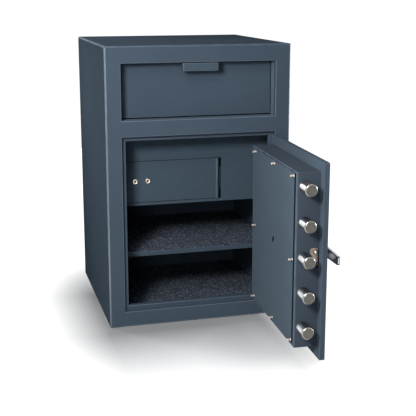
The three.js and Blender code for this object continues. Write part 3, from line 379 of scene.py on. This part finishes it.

# A list holds a flat finish and then the one for its rounded edges, which paints a highlight on them.
body_paint = [paint("body_paint", BODY_PAINT), rubbed("body_edge", BODY_PAINT)]
roof_edge = rubbed("roof_edge", linear(70, 83, 96), smooth=0.5, gloss_level=0.12)
# A lighter copy of the paint for the hopper's sill and sleeve, which paints the light they catch.
lit_sill_paint = paint("lit_sill_paint", linear(108, 124, 138))
inner_paint = [paint("inner_paint", INNER_PAINT), rubbed("inner_edge", INNER_PAINT)]
door_paint = [paint("door_paint", DOOR_PAINT, rough=0.7), rubbed("door_edge", DOOR_PAINT)]
shaded_box_paint = [paint("shaded_box_paint", SHADED_BOX_PAINT, rough=0.7, rim=BOX_DEPTH),
             rubbed("box_edge", linear(92, 105, 117), smooth=0.35, gloss_level=0.5)]
lit_cover_paint = [paint("lit_cover_paint", LIT_COVER_PAINT, rough=0.7),
               rubbed("cover_edge", linear(98, 112, 124), smooth=0.4, gloss_level=0.3)]
raised_edge_highlight = rubbed("raised_edge_highlight", linear(72, 85, 98), smooth=0.45, gloss_level=0.15)
painted_seam_shade = paint("painted_seam_shade", linear(26, 31, 37), rough=0.7)
steel = metal("bright_steel", linear(222, 214, 200), rough=0.24)
screw_steel = metal("screw_steel", linear(222, 212, 198), rough=0.42)
hinge_shade = paint("hinge_shade", linear(50, 60, 69), rough=0.7)
# The bolts' steel in three brightnesses, which paints light: the shank darkest, as shade and dark
# reflections, with a painted highlight streak along its side, and the chamfer's edge lightest, as a painted
# highlight.
turned_shank = turned_metal("turned_shank", linear(78, 80, 86), rough=0.46, drawn=1.0, highlight_at=72)
turned_face = turned_metal("turned_face", linear(104, 103, 98), rough=0.40, drawn=0.6)
turned_edge = turned_metal("turned_edge", linear(164, 163, 158), rough=0.24, drawn=0.3)
zinc = metal("zinc_plate", linear(162, 140, 122), rough=0.38, stain=linear(110, 112, 122))
dark_reflection_chrome = metal("painted_dark_reflection_chrome", linear(26, 28, 31), rough=0.3, stain=linear(20, 21, 24), scale=120.0)
chrome = metal("chrome_plate", linear(184, 185, 186), rough=0.16, stain=linear(150, 152, 156),
               scale=120.0)
brass = metal("brass", linear(198, 168, 104), rough=0.30, stain=linear(150, 118, 66))
bronze = metal("old_bronze", linear(92, 70, 50), rough=0.36, stain=linear(60, 46, 34))
nickel = turned_metal("nickel_plugs", linear(236, 226, 206), rough=0.3, pitch=0.0003)
black_enamel = paint("black_enamel", linear(24, 25, 28), rough=0.30, peel=0.7, gloss_level=0.5)
dial_white = paint("dial_white", linear(214, 214, 208), rough=0.45, peel=0.4)
hole_shade = paint("hole_shade", linear(12, 12, 13), rough=0.7, peel=0.5)
dark_bead_shade = paint("dark_bead_shade", linear(36, 42, 49), rough=0.6, peel=0.8)
carpet_pile = pile("carpet_pile", dark=linear(42, 48, 59), pale=linear(96, 107, 128),
                   fleck=linear(146, 158, 180))


# Objects and pieces
FLAT, EDGE, THIRD, FOURTH = range(4)  # the numbers of the finishes in a piece's list


def give(mesh, material):
    """Adds one finish, or a list of them, to a mesh."""
    for made in material if isinstance(material, list) else [material]:
        mesh.materials.append(made)


def made_object(name, bm, material, smooth=True):
    """Turns a bmesh into an object in the scene."""
    mesh = bpy.data.meshes.new(name)
    bm.to_mesh(mesh)
    bm.free()
    for face in mesh.polygons:
        face.use_smooth = smooth
    give(mesh, material)
    obj = bpy.data.objects.new(name, mesh)
    scene.collection.objects.link(obj)
    return obj


def modify(obj, kind, **settings):
    made = obj.modifiers.new(kind, kind)
    for key, value in settings.items():
        setattr(made, key, value)


def piece(name, bm, material, body, space, replaces=(), smooth=True):
    """Turns a bmesh in metres in a space into a piece that rides on a body."""
    bmesh.ops.recalc_face_normals(bm, faces=bm.faces)
    obj = made_object(name, bm, material, smooth)
    obj.matrix_world = space
    if smooth:
        modify(obj, "WEIGHTED_NORMAL", weight=80, keep_sharp=True)
    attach(obj, body)
    if replaces:
        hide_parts(*replaces)


def dress(node, material, bevel, segments=2, clamp=True):
    """Gives a CAD node its finish, and rounds its edges to a width in millimetres."""
    obj = frame["nodes"][node]
    obj.data.materials.clear()
    give(obj.data, material)
    for face in obj.data.polygons:
        face.material_index = FLAT
    modify(obj, "WELD", merge_threshold=1e-6)
    modify(obj, "DECIMATE", decimate_type="DISSOLVE", angle_limit=math.radians(0.6))
    if bevel:
        modify(obj, "BEVEL", width=bevel * MM, segments=segments, limit_method="ANGLE",
               angle_limit=math.radians(30), use_clamp_overlap=clamp, miter_outer="MITER_ARC",
               material=EDGE if len(obj.data.materials) > 1 else -1)
    modify(obj, "WEIGHTED_NORMAL", weight=80, keep_sharp=True)


def mark_faces(node, space, choose):
    """Sets each face's finish to the number that choose(middle, normal) gives."""
    into = space.inverted()
    for face in frame["nodes"][node].data.polygons:
        face.material_index = choose(into @ face.center / MM, face.normal)


# Shapes
SHARP = math.radians(40)  # the least angle of an edge that counts as sharp
RING_WAVE = 2.1  # how far a wobble goes on from ring to ring, in radians


def lathe(profile, sides):
    """A closed turned mesh about Z. The profile is (radius, z) in millimetres, from end to end."""
    bm = bmesh.new()
    rings = []
    for radius, z in profile:
        turns = [2 * math.pi * i / sides for i in range(sides)] if radius else [0.0]
        rings.append([bm.verts.new((radius * MM * math.cos(a), radius * MM * math.sin(a), z * MM))
                      for a in turns])
    for a, b in zip(rings, rings[1:]):
        for i in range(sides):
            j = (i + 1) % sides
            corners = [a[i % len(a)], a[j % len(a)], b[j % len(b)], b[i % len(b)]]
            corners = [v for k, v in enumerate(corners) if v not in corners[:k]]
            if len(corners) > 2:
                bm.faces.new(corners)
    return bm


def rounded(points, corners):
    """A profile with some of its corners rounded: corners is {index: radius}."""
    out = []
    for i, point in enumerate(points):
        if i not in corners:
            out.append(point)
            continue
        point, before, after = Vector(point), Vector(points[i - 1]), Vector(points[i + 1])
        back, on = (before - point).normalized(), (after - point).normalized()
        for t in (0.0, 0.25, 0.5, 0.75, 1.0):
            out.append(tuple(point + corners[i] * (back * (1 - t) ** 2 + on * t ** 2)))
    return out


def cells(xs, ys, zs, filled):
    """A closed mesh from a lattice of cells, in millimetres. filled(x, y, z) is asked at each middle."""
    bm = bmesh.new()
    corner = {}
    levels = (xs, ys, zs)

    def vert(at):
        if at not in corner:
            corner[at] = bm.verts.new([levels[axis][at[axis]] * MM for axis in range(3)])
        return corner[at]

    def full(at):
        if not all(0 <= at[axis] < len(levels[axis]) - 1 for axis in range(3)):
            return False
        return filled(*((levels[axis][at[axis]] + levels[axis][at[axis] + 1]) / 2 for axis in range(3)))

    def moved(at, axis, by):
        return tuple(n + by * (axis == k) for k, n in enumerate(at))

    for at in product(*(range(len(level) - 1) for level in levels)):
        for axis, side in product(range(3), (0, 1)):
            if full(at) and not full(moved(at, axis, 1 if side else -1)):
                one, two = [(1, 2), (0, 2), (0, 1)][axis]
                start = moved(at, axis, side)
                next_one, next_two = moved(start, one, 1), moved(start, two, 1)
                quad = [start, next_one, moved(next_one, two, 1), next_two]
                bm.faces.new([vert(c) for c in quad])
    bmesh.ops.recalc_face_normals(bm, faces=bm.faces)
    return bm


def round_edges(bm, test, radius, segments):
    """Rounds the sharp edges whose two ends pass a test, and gives them the second finish."""
    chosen = [e for e in bm.edges
              if e.is_manifold and e.calc_face_angle(0) > SHARP
              and test(*(v.co / MM for v in e.verts))]
    made = bmesh.ops.bevel(bm, geom=chosen, offset=radius * MM, segments=segments, profile=0.5,
                           affect="EDGES", clamp_overlap=False)
    for face in made["faces"]:
        face.material_index = EDGE


def tube(bm, points, radius, sides, closed=False, wobble=0.0):
    """A round bead along points, in millimetres. wobble is the share of its radius that comes and goes."""
    rings = []
    count = len(points)
    for n, point in enumerate(points):
        before = Vector(points[n - 1] if n or closed else points[0])
        after = Vector(points[(n + 1) % count] if n + 1 < count or closed else points[-1])
        along = (after - before).normalized()
        side = along.cross(Vector((0, 0, 1)) if abs(along.z) < 0.9 else Vector((0, 1, 0))).normalized()
        up = side.cross(along)
        r = radius * (1 + wobble * math.sin(n * RING_WAVE) * (0.6 + 0.4 * random.random()))
        rings.append([bm.verts.new((Vector(point) + side * r * math.cos(a) + up * r * math.sin(a)) * MM)
                      for a in (2 * math.pi * i / sides for i in range(sides))])
    pairs = list(zip(rings, rings[1:])) + ([(rings[-1], rings[0])] if closed else [])
    for a, b in pairs:
        for i in range(sides):
            bm.faces.new((a[i], a[(i + 1) % sides], b[(i + 1) % sides], b[i]))
    if not closed:
        bm.faces.new(rings[0])
        bm.faces.new(rings[-1])
    return bm


# Floor's disc
bm = bmesh.new()
bmesh.ops.create_circle(bm, cap_ends=True, segments=64, radius=FLOOR_RADIUS)
floor = made_object("floor", bm, floor_finish(), smooth=False)

# Cabinet's skin: sides, roof, back and front frame run into one another
WIDTH, DEPTH = extent("back_plate", CABINET)[1].xy
HEIGHT = extent("roof_plate", CABINET)[1].z
WALL = extent("side_wall_left", CABINET)[1].x
FRAME_DEPTH = extent("front_frame", CABINET)[1].y
OPENING_LEFT, OPENING_RIGHT = 42, 466
DOORWAY_FOOT, DOORWAY_TOP = 42.5, 524.5
HOPPER_FOOT, HOPPER_TOP = 567, 717
OUTER_ROUND, OPENING_ROUND = 4, 1.2
TOUCH = 0.01  # a point this near to a face or a line counts as on it
ROOF_EDGE, LIT_SILL = THIRD, FOURTH


def in_skin(x, y, z):
    within_walls = WALL < x < WIDTH - WALL
    if within_walls and FRAME_DEPTH < y < DEPTH - WALL and z < HEIGHT - WALL:
        return False
    between = OPENING_LEFT < x < OPENING_RIGHT
    in_opening = DOORWAY_FOOT < z < DOORWAY_TOP or HOPPER_FOOT < z < HOPPER_TOP
    if y < FRAME_DEPTH and between and in_opening:
        return False
    return not (z < WALL and within_walls and y > FRAME_DEPTH)


def on_outside(p, q):
    """Whether an edge lies where two outer faces meet."""
    faces = product(enumerate((WIDTH, DEPTH, HEIGHT)), (0, 1))
    return 2 == sum(all(abs(end[axis] - size * side) < TOUCH for end in (p, q))
                    for (axis, size), side in faces)


def round_opening(p, q):
    """Whether an edge runs round an opening, on the front face."""
    return all(v[1] < TOUCH and OPENING_LEFT - TOUCH < v[0] < OPENING_RIGHT + TOUCH
               and DOORWAY_FOOT - TOUCH < v[2] < HOPPER_TOP + TOUCH for v in (p, q))


bm = cells([0, WALL, OPENING_LEFT, OPENING_RIGHT, WIDTH - WALL, WIDTH],
           [0, FRAME_DEPTH, DEPTH - WALL, DEPTH],
           [0, WALL, DOORWAY_FOOT, DOORWAY_TOP, HOPPER_FOOT, HOPPER_TOP, HEIGHT - WALL, HEIGHT], in_skin)
round_edges(bm, round_opening, OPENING_ROUND, 3)
round_edges(bm, on_outside, OUTER_ROUND, 5)
bm.normal_update()
# The roof's rounded edges take a duller painted highlight, and the hopper's sill a lighter paint that paints
# light on it.
for face in bm.faces:
    middle = face.calc_center_median() / MM
    if face.material_index and middle.z > HEIGHT - OUTER_ROUND:
        face.material_index = ROOF_EDGE
    elif face.normal.z > 0.9 and OPENING_LEFT < middle.x < OPENING_RIGHT and abs(middle.z - HOPPER_FOOT) < 1:
        face.material_index = LIT_SILL
for edge in bm.edges:
    edge.smooth = edge.calc_face_angle(0) < SHARP
piece("cabinet_skin", bm, body_paint + [roof_edge, lit_sill_paint], "cabinet", CABINET,
      ["side_wall_left", "side_wall_right", "roof_plate", "back_plate", "front_frame"])

# Cabinet's other plates and the hopper
for node in ("base_plate", "chute_plate", "fishing_baffle", "locker_box", "middle_shelf",
             "shelf_rail_left", "shelf_rail_right"):
    dress(node, inner_paint, bevel=0.6)
dress("door_stop_lip", body_paint, bevel=1.0)
# The sleeve's lighter paint paints the light it catches.
dress("hopper_sleeve", [lit_sill_paint, body_paint[1]], bevel=0.4)
dress("hopper_hinge_rod", steel, bevel=0.6)
dress("hopper_panel", body_paint, bevel=1.0, segments=3)
dress("pull_tab", body_paint, bevel=0.9, segments=3)
dress("hopper_bucket", body_paint, bevel=None)
for node in ("hinge_post_bottom", "hinge_post_top"):
    dress(node, body_paint, bevel=1.2, segments=3)

# Locker, whose door and hinge leaf have a raised edge painted pale as a highlight, and whose leaf's rear is
# painted in shade
LOCKER_RAISED, LEAF_REAR = 104.6, 106.5  # how far in the raised edges end, and the leaf's rear starts


def raised_edge(middle, normal):
    return middle.y < LOCKER_RAISED and normal.x < -0.1


# The panel's and door's rounded edges are dark, as painted shade in the gaps round the door.
dress("locker_front_panel", [inner_paint[0], painted_seam_shade], bevel=0.6)
dress("locker_door", [inner_paint[0], painted_seam_shade, raised_edge_highlight], bevel=0.8, segments=3)
mark_faces("locker_door", CABINET, lambda middle, normal: THIRD if raised_edge(middle, normal) else FLAT)
dress("locker_lock_case", zinc, bevel=0.6)
dress("locker_latch", steel, bevel=0.6)
dress("locker_hinge_leaf", inner_paint + [hinge_shade, raised_edge_highlight], bevel=0.4)
mark_faces("locker_hinge_leaf", CABINET,
           lambda middle, normal: (THIRD if middle.y > LEAF_REAR
                                   else FOURTH if raised_edge(middle, normal) else FLAT))

# Carpets
PILE_STEP, PILE_WANDER = 3.0, 0.7  # between the upper face's points, and how far each may stray
PILE_INSET, PILE_FRAY = 0.4, 0.6  # how far the edge is drawn in, and how much further at most
PILE_BELOW, PILE_LUMP, PILE_SWELL = 0.8, 0.45, 0.21  # the upper face's depth, and its unevenness
PILE_EDGE_DROP = 0.9
SWELL_X, SWELL_Y, SWELL_START = 41, 37, 1.3  # waves in radians per metre


def carpet(name, node, body):
    """A sheet with a lumpy upper face and a ragged edge, in the space of its CAD solid."""
    low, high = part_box(node)
    size = high - low
    nx, ny = (round(side / (PILE_STEP * MM)) for side in size.xy)
    bm = bmesh.new()
    top, foot = {}, {}
    for j, i in product(range(ny + 1), range(nx + 1)):
        x, y = low.x + size.x * i / nx, low.y + size.y * j / ny
        edge = i in (0, nx) or j in (0, ny)
        inset = (PILE_INSET + PILE_FRAY * random.random()) * MM
        x += inset * ((i == 0) - (i == nx))
        y += inset * ((j == 0) - (j == ny))
        lump = (PILE_SWELL * math.sin(x * SWELL_X + SWELL_START) * math.sin(y * SWELL_Y)
                + PILE_LUMP * random.uniform(-1, 1) - PILE_BELOW - PILE_EDGE_DROP * edge) * MM
        stray = [0 if edge else random.uniform(-PILE_WANDER, PILE_WANDER) * MM for axis in (0, 1)]
        top[i, j] = bm.verts.new((x + stray[0], y + stray[1], high.z + lump))
        if edge:
            foot[i, j] = bm.verts.new((x, y, low.z))
    for j, i in product(range(ny), range(nx)):
        bm.faces.new((top[i, j], top[i + 1, j], top[i + 1, j + 1], top[i, j + 1]))
    rim = ([(i, 0) for i in range(nx)] + [(nx, j) for j in range(ny)]
           + [(i, ny) for i in range(nx, 0, -1)] + [(0, j) for j in range(ny, 0, -1)])
    for a, b in zip(rim, rim[1:] + rim[:1]):
        bm.faces.new((top[a], top[b], foot[b], foot[a]))
    bm.faces.new([foot[at] for at in rim])
    bmesh.ops.recalc_face_normals(bm, faces=bm.faces)
    obj = made_object(name, bm, carpet_pile)
    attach(obj, body)
    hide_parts(node)


carpet("shelf_carpet_pile", "shelf_carpet", "cabinet")
carpet("floor_carpet_pile", "floor_carpet", "cabinet")

# Door plate, bolt box and cover, with a change-key hole through the cover whose walls are painted dark as
# shade
COVER_LOW, COVER_HIGH = extent("cover_plate", DOOR)
COVER_INNER, COVER_FACE = COVER_LOW.y, COVER_HIGH.y
KEY_HOLE_X, KEY_HOLE_Z = (194, 214), (280, 302)  # the part of the cover that holds the hole


def in_key_hole(middle):
    return (KEY_HOLE_X[0] < middle.x < KEY_HOLE_X[1] and KEY_HOLE_Z[0] < middle.z < KEY_HOLE_Z[1]
            and COVER_INNER + 0.1 < middle.y < COVER_FACE - 0.1)


# The plate's inner face takes the cover's lighter paint, as painted light.
dress("door_plate", door_paint + [lit_cover_paint[0]], bevel=1.6, segments=3)
mark_faces("door_plate", DOOR, lambda middle, normal: THIRD if middle.y > -0.5 else FLAT)
dress("bolt_pan", shaded_box_paint, bevel=1.8, segments=3)
dress("cover_plate", lit_cover_paint + [hole_shade], bevel=0.9)
mark_faces("cover_plate", DOOR, lambda middle, normal: THIRD if in_key_hole(middle) else FLAT)
dress("dead_bar", body_paint, bevel=1.0)
for node in ("hinge_strap_bottom", "hinge_strap_top"):
    dress(node, body_paint, bevel=1.0, segments=3)
dress("bolt_guide", zinc, bevel=0.4)
dress("bolt_carrier", zinc, bevel=0.6)
dress("lock_case", zinc, bevel=1.0)
dress("lock_bolt", brass, bevel=0.6)
dress("handle_escutcheon", chrome, bevel=1.2, segments=3)
dress("trigger_lever", zinc, bevel=0.5)

# Locking bolts
BOLT_SET_BACK = 0.3  # from the solid's end to the bolt's
BOLT_CHAMFER_IN, BOLT_CHAMFER_BACK, BOLT_REAR_CHAMFER = 2.1, 2.2, 0.8
CENTRE_MARK = [(1.6, -0.3), (0.9, -0.8), (0, -1.0)]
TURNED_FROM = -2.9  # where the finish of the bolt's end starts


def locking_bolt(number):
    """A turned bar with a chamfered end and a faint centre mark."""
    node = f"locking_bolt_{number}"
    low, high = extent(node, DOOR)
    middle = (low + high) / 2
    radius, rear = middle.z - low.z, low.x - high.x
    face_radius = radius - BOLT_CHAMFER_IN
    profile = [(0, rear), (radius - BOLT_REAR_CHAMFER, rear), (radius, rear + BOLT_REAR_CHAMFER),
               (radius, -BOLT_SET_BACK - BOLT_CHAMFER_BACK), (face_radius, -BOLT_SET_BACK)] + CENTRE_MARK
    bm = lathe(rounded(profile, {2: 0.3, 3: 0.5, 4: 0.4}), sides=96)
    for face in bm.faces:
        at = face.calc_center_median() / MM
        if at.z > TURNED_FROM:
            face.material_index = EDGE if at.xy.length > face_radius - 0.1 else THIRD
    piece(f"bolt_{number}", bm, [turned_shank, turned_edge, turned_face], "boltwork",
          placed(DOOR, low.x, middle.y, middle.z, OUT_FREE), [node])


for number in range(1, 6):
    locking_bolt(number)

# Cover screws
SHANK_RADIUS, COLLAR_RADIUS, HEAD_RADIUS, CROWN_RADIUS = 2.4, 3.6, 2.8, 1.9
COLLAR_FOOT, COLLAR_TOP, NECK = COVER_FACE + 0.2, COVER_FACE + 1.2, COVER_FACE + 1.8
CROWN, SLOT_HALF, SLOT_DEPTH = 1.0, 0.45, 1.2


def cover_screw(number):
    """A slotted pan head on a collar, turned to a random angle."""
    node = f"cover_screw_{number}"
    # The middle of its box in the row frame, which lies within half a millimetre of its axis.
    low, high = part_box(node)
    middle = DOOR.inverted() @ ((low + high) / 2) / MM
    foot, top = (corner.y for corner in extent(node, DOOR))
    shoulder = top - CROWN
    profile = [(0, foot), (SHANK_RADIUS, foot), (SHANK_RADIUS, COLLAR_FOOT), (COLLAR_RADIUS, COLLAR_FOOT),
               (COLLAR_RADIUS, COLLAR_TOP), (HEAD_RADIUS, NECK), (HEAD_RADIUS, shoulder),
               (CROWN_RADIUS, top), (0, top)]
    bm = lathe(rounded(profile, {4: 0.3, 6: 0.5, 7: 0.4}), sides=32)
    for side in (-1, 1):
        bmesh.ops.bisect_plane(bm, geom=bm.verts[:] + bm.edges[:] + bm.faces[:],
                               plane_co=(side * SLOT_HALF * MM, 0, 0), plane_no=(1, 0, 0))
    for vert in bm.verts:
        if abs(vert.co.x) < (SLOT_HALF - TOUCH) * MM and vert.co.z > shoulder * MM:
            vert.co.z -= SLOT_DEPTH * MM
    turn = Matrix.Rotation(random.uniform(0, math.pi), 4, "Z")
    piece(f"cover_screw_head_{number}", bm, screw_steel, "door",
          placed(DOOR, middle.x, 0, middle.z, OUT_BACK @ turn), [node])


for number in range(1, 9):
    cover_screw(number)


# Trigger's ball rivet and the brass stop below it
def trigger_ball():
    low, high = extent("trigger_rivet", DOOR)
    lever_face = extent("trigger_lever", DOOR)[0].x
    middle = (low + high) / 2
    radius, shank, proud = middle.y - low.y, 2.2, 0.3
    dome = [(radius * math.cos(math.radians(a)), proud + radius * math.sin(math.radians(a)))
            for a in range(0, 90, 9)]
    profile = [(0, -3.0), (shank, -3.0), (shank, proud)] + dome + [(0, proud + radius)]
    piece("trigger_ball", lathe(profile, sides=40), steel, "door",
          placed(DOOR, lever_face, middle.y, middle.z, OUT_FREE), ["trigger_rivet"])


def trigger_pin():
    low, high = extent("trigger_stop_pin", DOOR)
    middle = (low + high) / 2
    radius = middle.z - low.z
    profile = rounded([(0, low.y), (radius, low.y), (radius, high.y), (0, high.y)], {2: 0.5})
    piece("trigger_pin", lathe(profile, sides=24), brass, "door",
          placed(DOOR, middle.x, 0, middle.z, OUT_BACK), ["trigger_stop_pin"])


trigger_ball()
trigger_pin()

# Handle and dial
# The lever's rounded edges are near-black chrome, a painted dark reflection that outlines it.
dress("handle_lever", [chrome, dark_reflection_chrome], bevel=1.8, segments=4)
dress("handle_spindle", chrome, bevel=0.5, clamp=False)
dress("dial_ring", black_enamel, bevel=0.5)
dress("dial_knob", black_enamel, bevel=0.5)

# Key plugs: a bright rim, a bronze barrel face a little lower, and a keyway painted dark as shade
RIM_PROFILE = [(0, -1.1), (3.5, -1.1), (3.9, 0), (6.2, 0), (6.9, -0.8), (6.9, -4.6), (6, -4.6), (6, -7),
               (0, -7)]
BARREL_PROFILE = [(0, -0.85), (1.6, -0.88), (2.8, -1.0), (3.35, -1.25), (3.35, -1.8), (0, -1.8)]
KEYWAY_X, KEYWAY_Y, KEYWAY_Z = [-1.0, -0.35, 0.35, 1.0], [-2.9, 1.4, 2.9], [-1.1, -0.75]


def in_keyway(x, y, z):
    """A slot that is narrower at one end."""
    return y < KEYWAY_Y[1] or abs(x) < KEYWAY_X[2]


def key_plug(side):
    node, body = "key_plug_" + side, "key_" + side
    low, high = extent(node, CABINET)
    middle = (low + high) / 2
    face = placed(CABINET, middle.x, low.y, middle.z, OUT_FRONT)
    rim = lathe(rounded(RIM_PROFILE, {3: 0.4, 5: 0.3}), sides=48)
    piece("plug_rim_" + side, rim, nickel, body, face, [node])
    piece("plug_barrel_" + side, lathe(BARREL_PROFILE, sides=32), bronze, body, face)
    keyway = cells(KEYWAY_X, KEYWAY_Y, KEYWAY_Z, in_keyway)
    piece("plug_keyway_" + side, keyway, hole_shade, body, face, smooth=False)


for side in ("left", "right"):
    key_plug(side)

# Change key's way in: a bush from the lock case to the cover, painted dark as the hole's shade, and a dark
# bead round the hole that paints more of its shade
KEY_HOLE, BUSH_RADIUS = (203.5, 291.5), 10.6
LOCK_FACE = extent("lock_case", DOOR)[1].y
EYE, EYE_RADIUS, EYE_STEP = (201.5, 294.5), 4.3, 14  # the round part of the hole, in steps of degrees
EYE_FROM, EYE_TO = -28, 281
HOLE_FOOT = [(206.3, 284.4), (208.4, 283.7), (210.6, 284.6), (210.9, 286.3)]  # round the end of its slot
HOLE_SHADE_RADIUS, HOLE_SHADE_DEPTH = 1.1, COVER_FACE + 0.1
SEAM_SHADE_RADIUS, SEAM_SHADE_STEP = 1.4, 10
SEAM_SHADE_BESIDE, SEAM_SHADE_UNDER, SEAM_SHADE_SHORT = 0.9, 0.2, 2.5  # of the cover's edge, its face and its foot


def change_key_bush():
    """A cylinder with a narrow bore and a recess at its front."""
    rear, front = LOCK_FACE + 0.1, COVER_INNER - 0.3
    bore, bore_foot = 1.6, LOCK_FACE + 1.5
    recess, mouth, recess_foot, recess_bevel = 4.6, 5.4, front - 2.2, front - 1.2
    profile = [(0, bore_foot), (bore, bore_foot), (bore, recess_foot), (recess, recess_foot),
               (mouth, recess_bevel), (mouth, front), (BUSH_RADIUS, front), (BUSH_RADIUS, rear), (0, rear)]
    piece("change_key_bush", lathe(profile, sides=40), hole_shade, "door",
          placed(DOOR, KEY_HOLE[0], 0, KEY_HOLE[1], OUT_BACK))


def cover_seal():
    """A dark bead in the groove between the box's flange and the cover, which paints the groove's shade."""
    heights = range(round(COVER_LOW.z + SEAM_SHADE_SHORT), math.ceil(COVER_HIGH.z), SEAM_SHADE_STEP)
    run = [(COVER_LOW.x - SEAM_SHADE_BESIDE, COVER_FACE - SEAM_SHADE_UNDER, z) for z in heights]
    piece("cover_seal", tube(bmesh.new(), run, SEAM_SHADE_RADIUS, 10), dark_bead_shade, "door", DOOR)


# A dark bead round the change-key hole, which paints shade that widens the hole's dark mark.
def change_key_edging():
    turns = [math.radians(a) for a in range(EYE_FROM, EYE_TO, EYE_STEP)]
    ring = [(EYE[0] + EYE_RADIUS * math.cos(a), EYE[1] + EYE_RADIUS * math.sin(a)) for a in turns]
    ring = [(x, HOLE_SHADE_DEPTH, z) for x, z in ring + HOLE_FOOT]
    piece("change_key_edging", tube(bmesh.new(), ring, HOLE_SHADE_RADIUS, 10, closed=True), dark_bead_shade, "door",
          DOOR)


change_key_bush()
cover_seal()
change_key_edging()

# Dial's marks and index
# Its face is a cone, CONE_AT off the plate at radius CONE_FROM. It falls back by CONE_FALL for each
# millimetre further out.
RING_LOW, RING_HIGH = extent("dial_ring", DOOR)
DIAL = placed(DOOR, (RING_LOW.x + RING_HIGH.x) / 2, 0, (RING_LOW.z + RING_HIGH.z) / 2, OUT_FRONT)
CONE_AT, CONE_FROM, CONE_FALL = 31.7, 22.0, 4.0 / 14.0
DIVISIONS = 100
DIVISION = 360 / DIVISIONS
MARK_RIM, MARK_THICK, MARK_PROUD = 35.2, 0.14, 0.02
TEN, FIVE, ONE = 4.6, 3.4, 2.2  # the marks' lengths
TEN_WIDTH, MARK_WIDTH = 0.55, 0.36
NUMERAL_RADIUS, NUMERAL_HEIGHT, NUMERAL_PROUD, NUMERAL_THICK = 27.2, 3.6, 0.04, 0.06
INDEX_RADIUS, INDEX_HEIGHT, INDEX_SIDE = 38.9, 25.02, 14  # and the divisions to its side marks


def clockwise(divisions):
    return Matrix.Rotation(math.radians(-divisions * DIVISION), 4, "Z")


def on_cone(divisions, radius, proud):
    """A place on the dial's face: X along the rim, Y outward, Z off the face."""
    slope = Matrix.Rotation(-math.atan(CONE_FALL), 4, "X")
    height = CONE_AT - (radius - CONE_FROM) * CONE_FALL + proud
    return clockwise(divisions) @ Matrix.Translation((0, radius * MM, height * MM)) @ slope


def painted_mark(bm, place, width, length):
    made = bmesh.ops.create_cube(bm, size=1.0)
    shape = place @ Matrix.Diagonal((width * MM, length * MM, MARK_THICK * MM, 1))
    bmesh.ops.transform(bm, matrix=shape, verts=made["verts"])


def numeral(bm, text, place):
    """A plain number as a thin solid, its middle at place."""
    curve = bpy.data.curves.new("numeral", "FONT")
    curve.body = text
    curve.size = NUMERAL_HEIGHT * MM / 0.7  # a figure's height is 0.7 of the font's size
    curve.extrude = NUMERAL_THICK * MM
    curve.align_x, curve.align_y = "CENTER", "CENTER"
    curve.resolution_u = 3
    obj = bpy.data.objects.new("numeral", curve)
    scene.collection.objects.link(obj)
    bpy.context.view_layer.update()
    mesh = bpy.data.meshes.new_from_object(obj)
    mesh.transform(place)
    bm.from_mesh(mesh)
    bpy.data.objects.remove(obj)
    bpy.data.curves.remove(curve)
    bpy.data.meshes.remove(mesh)


def dial_marks():
    bm = bmesh.new()
    for i in range(DIVISIONS):
        length = TEN if i % 10 == 0 else FIVE if i % 5 == 0 else ONE
        painted_mark(bm, on_cone(i, MARK_RIM - length / 2, MARK_PROUD),
                     TEN_WIDTH if i % 10 == 0 else MARK_WIDTH, length)
    for i in range(0, DIVISIONS, 10):
        numeral(bm, str(i), on_cone(i, NUMERAL_RADIUS, NUMERAL_PROUD))
    piece("dial_marks", bm, dial_white, "dial", DIAL, smooth=False)


def dial_index():
    bm = bmesh.new()
    for i, width, length in ((0, 0.9, 2.52), (-INDEX_SIDE, 0.5, 1.26), (INDEX_SIDE, 0.5, 1.26)):
        place = clockwise(i) @ Matrix.Translation((0, INDEX_RADIUS * MM, INDEX_HEIGHT * MM))
        painted_mark(bm, place, width, length)
    piece("dial_index", bm, dial_white, "door", DIAL, smooth=False)


dial_marks()
dial_index()

# Weld beads down both sides of each hinge post
WELD_RADIUS, WELD_WOBBLE, WELD_STEP = 1.6, 0.14, 1.6
WELD_X, WELD_Y = (467.6, 494.0), -0.6
WELD_FROM, WELD_TO = 2, 38  # above the post's foot


def post_welds(end):
    foot = extent("hinge_post_" + end, CABINET)[0].z
    count = round((WELD_TO - WELD_FROM) / WELD_STEP)
    bm = bmesh.new()
    for x in WELD_X:
        a, b = Vector((x, WELD_Y, foot + WELD_FROM)), Vector((x, WELD_Y, foot + WELD_TO))
        tube(bm, [a.lerp(b, i / count) for i in range(count + 1)], WELD_RADIUS, 8, wobble=WELD_WOBBLE)
    piece("post_weld_" + end, bm, body_paint[0], "cabinet", CABINET)


for end in ("bottom", "top"):
    post_welds(end)
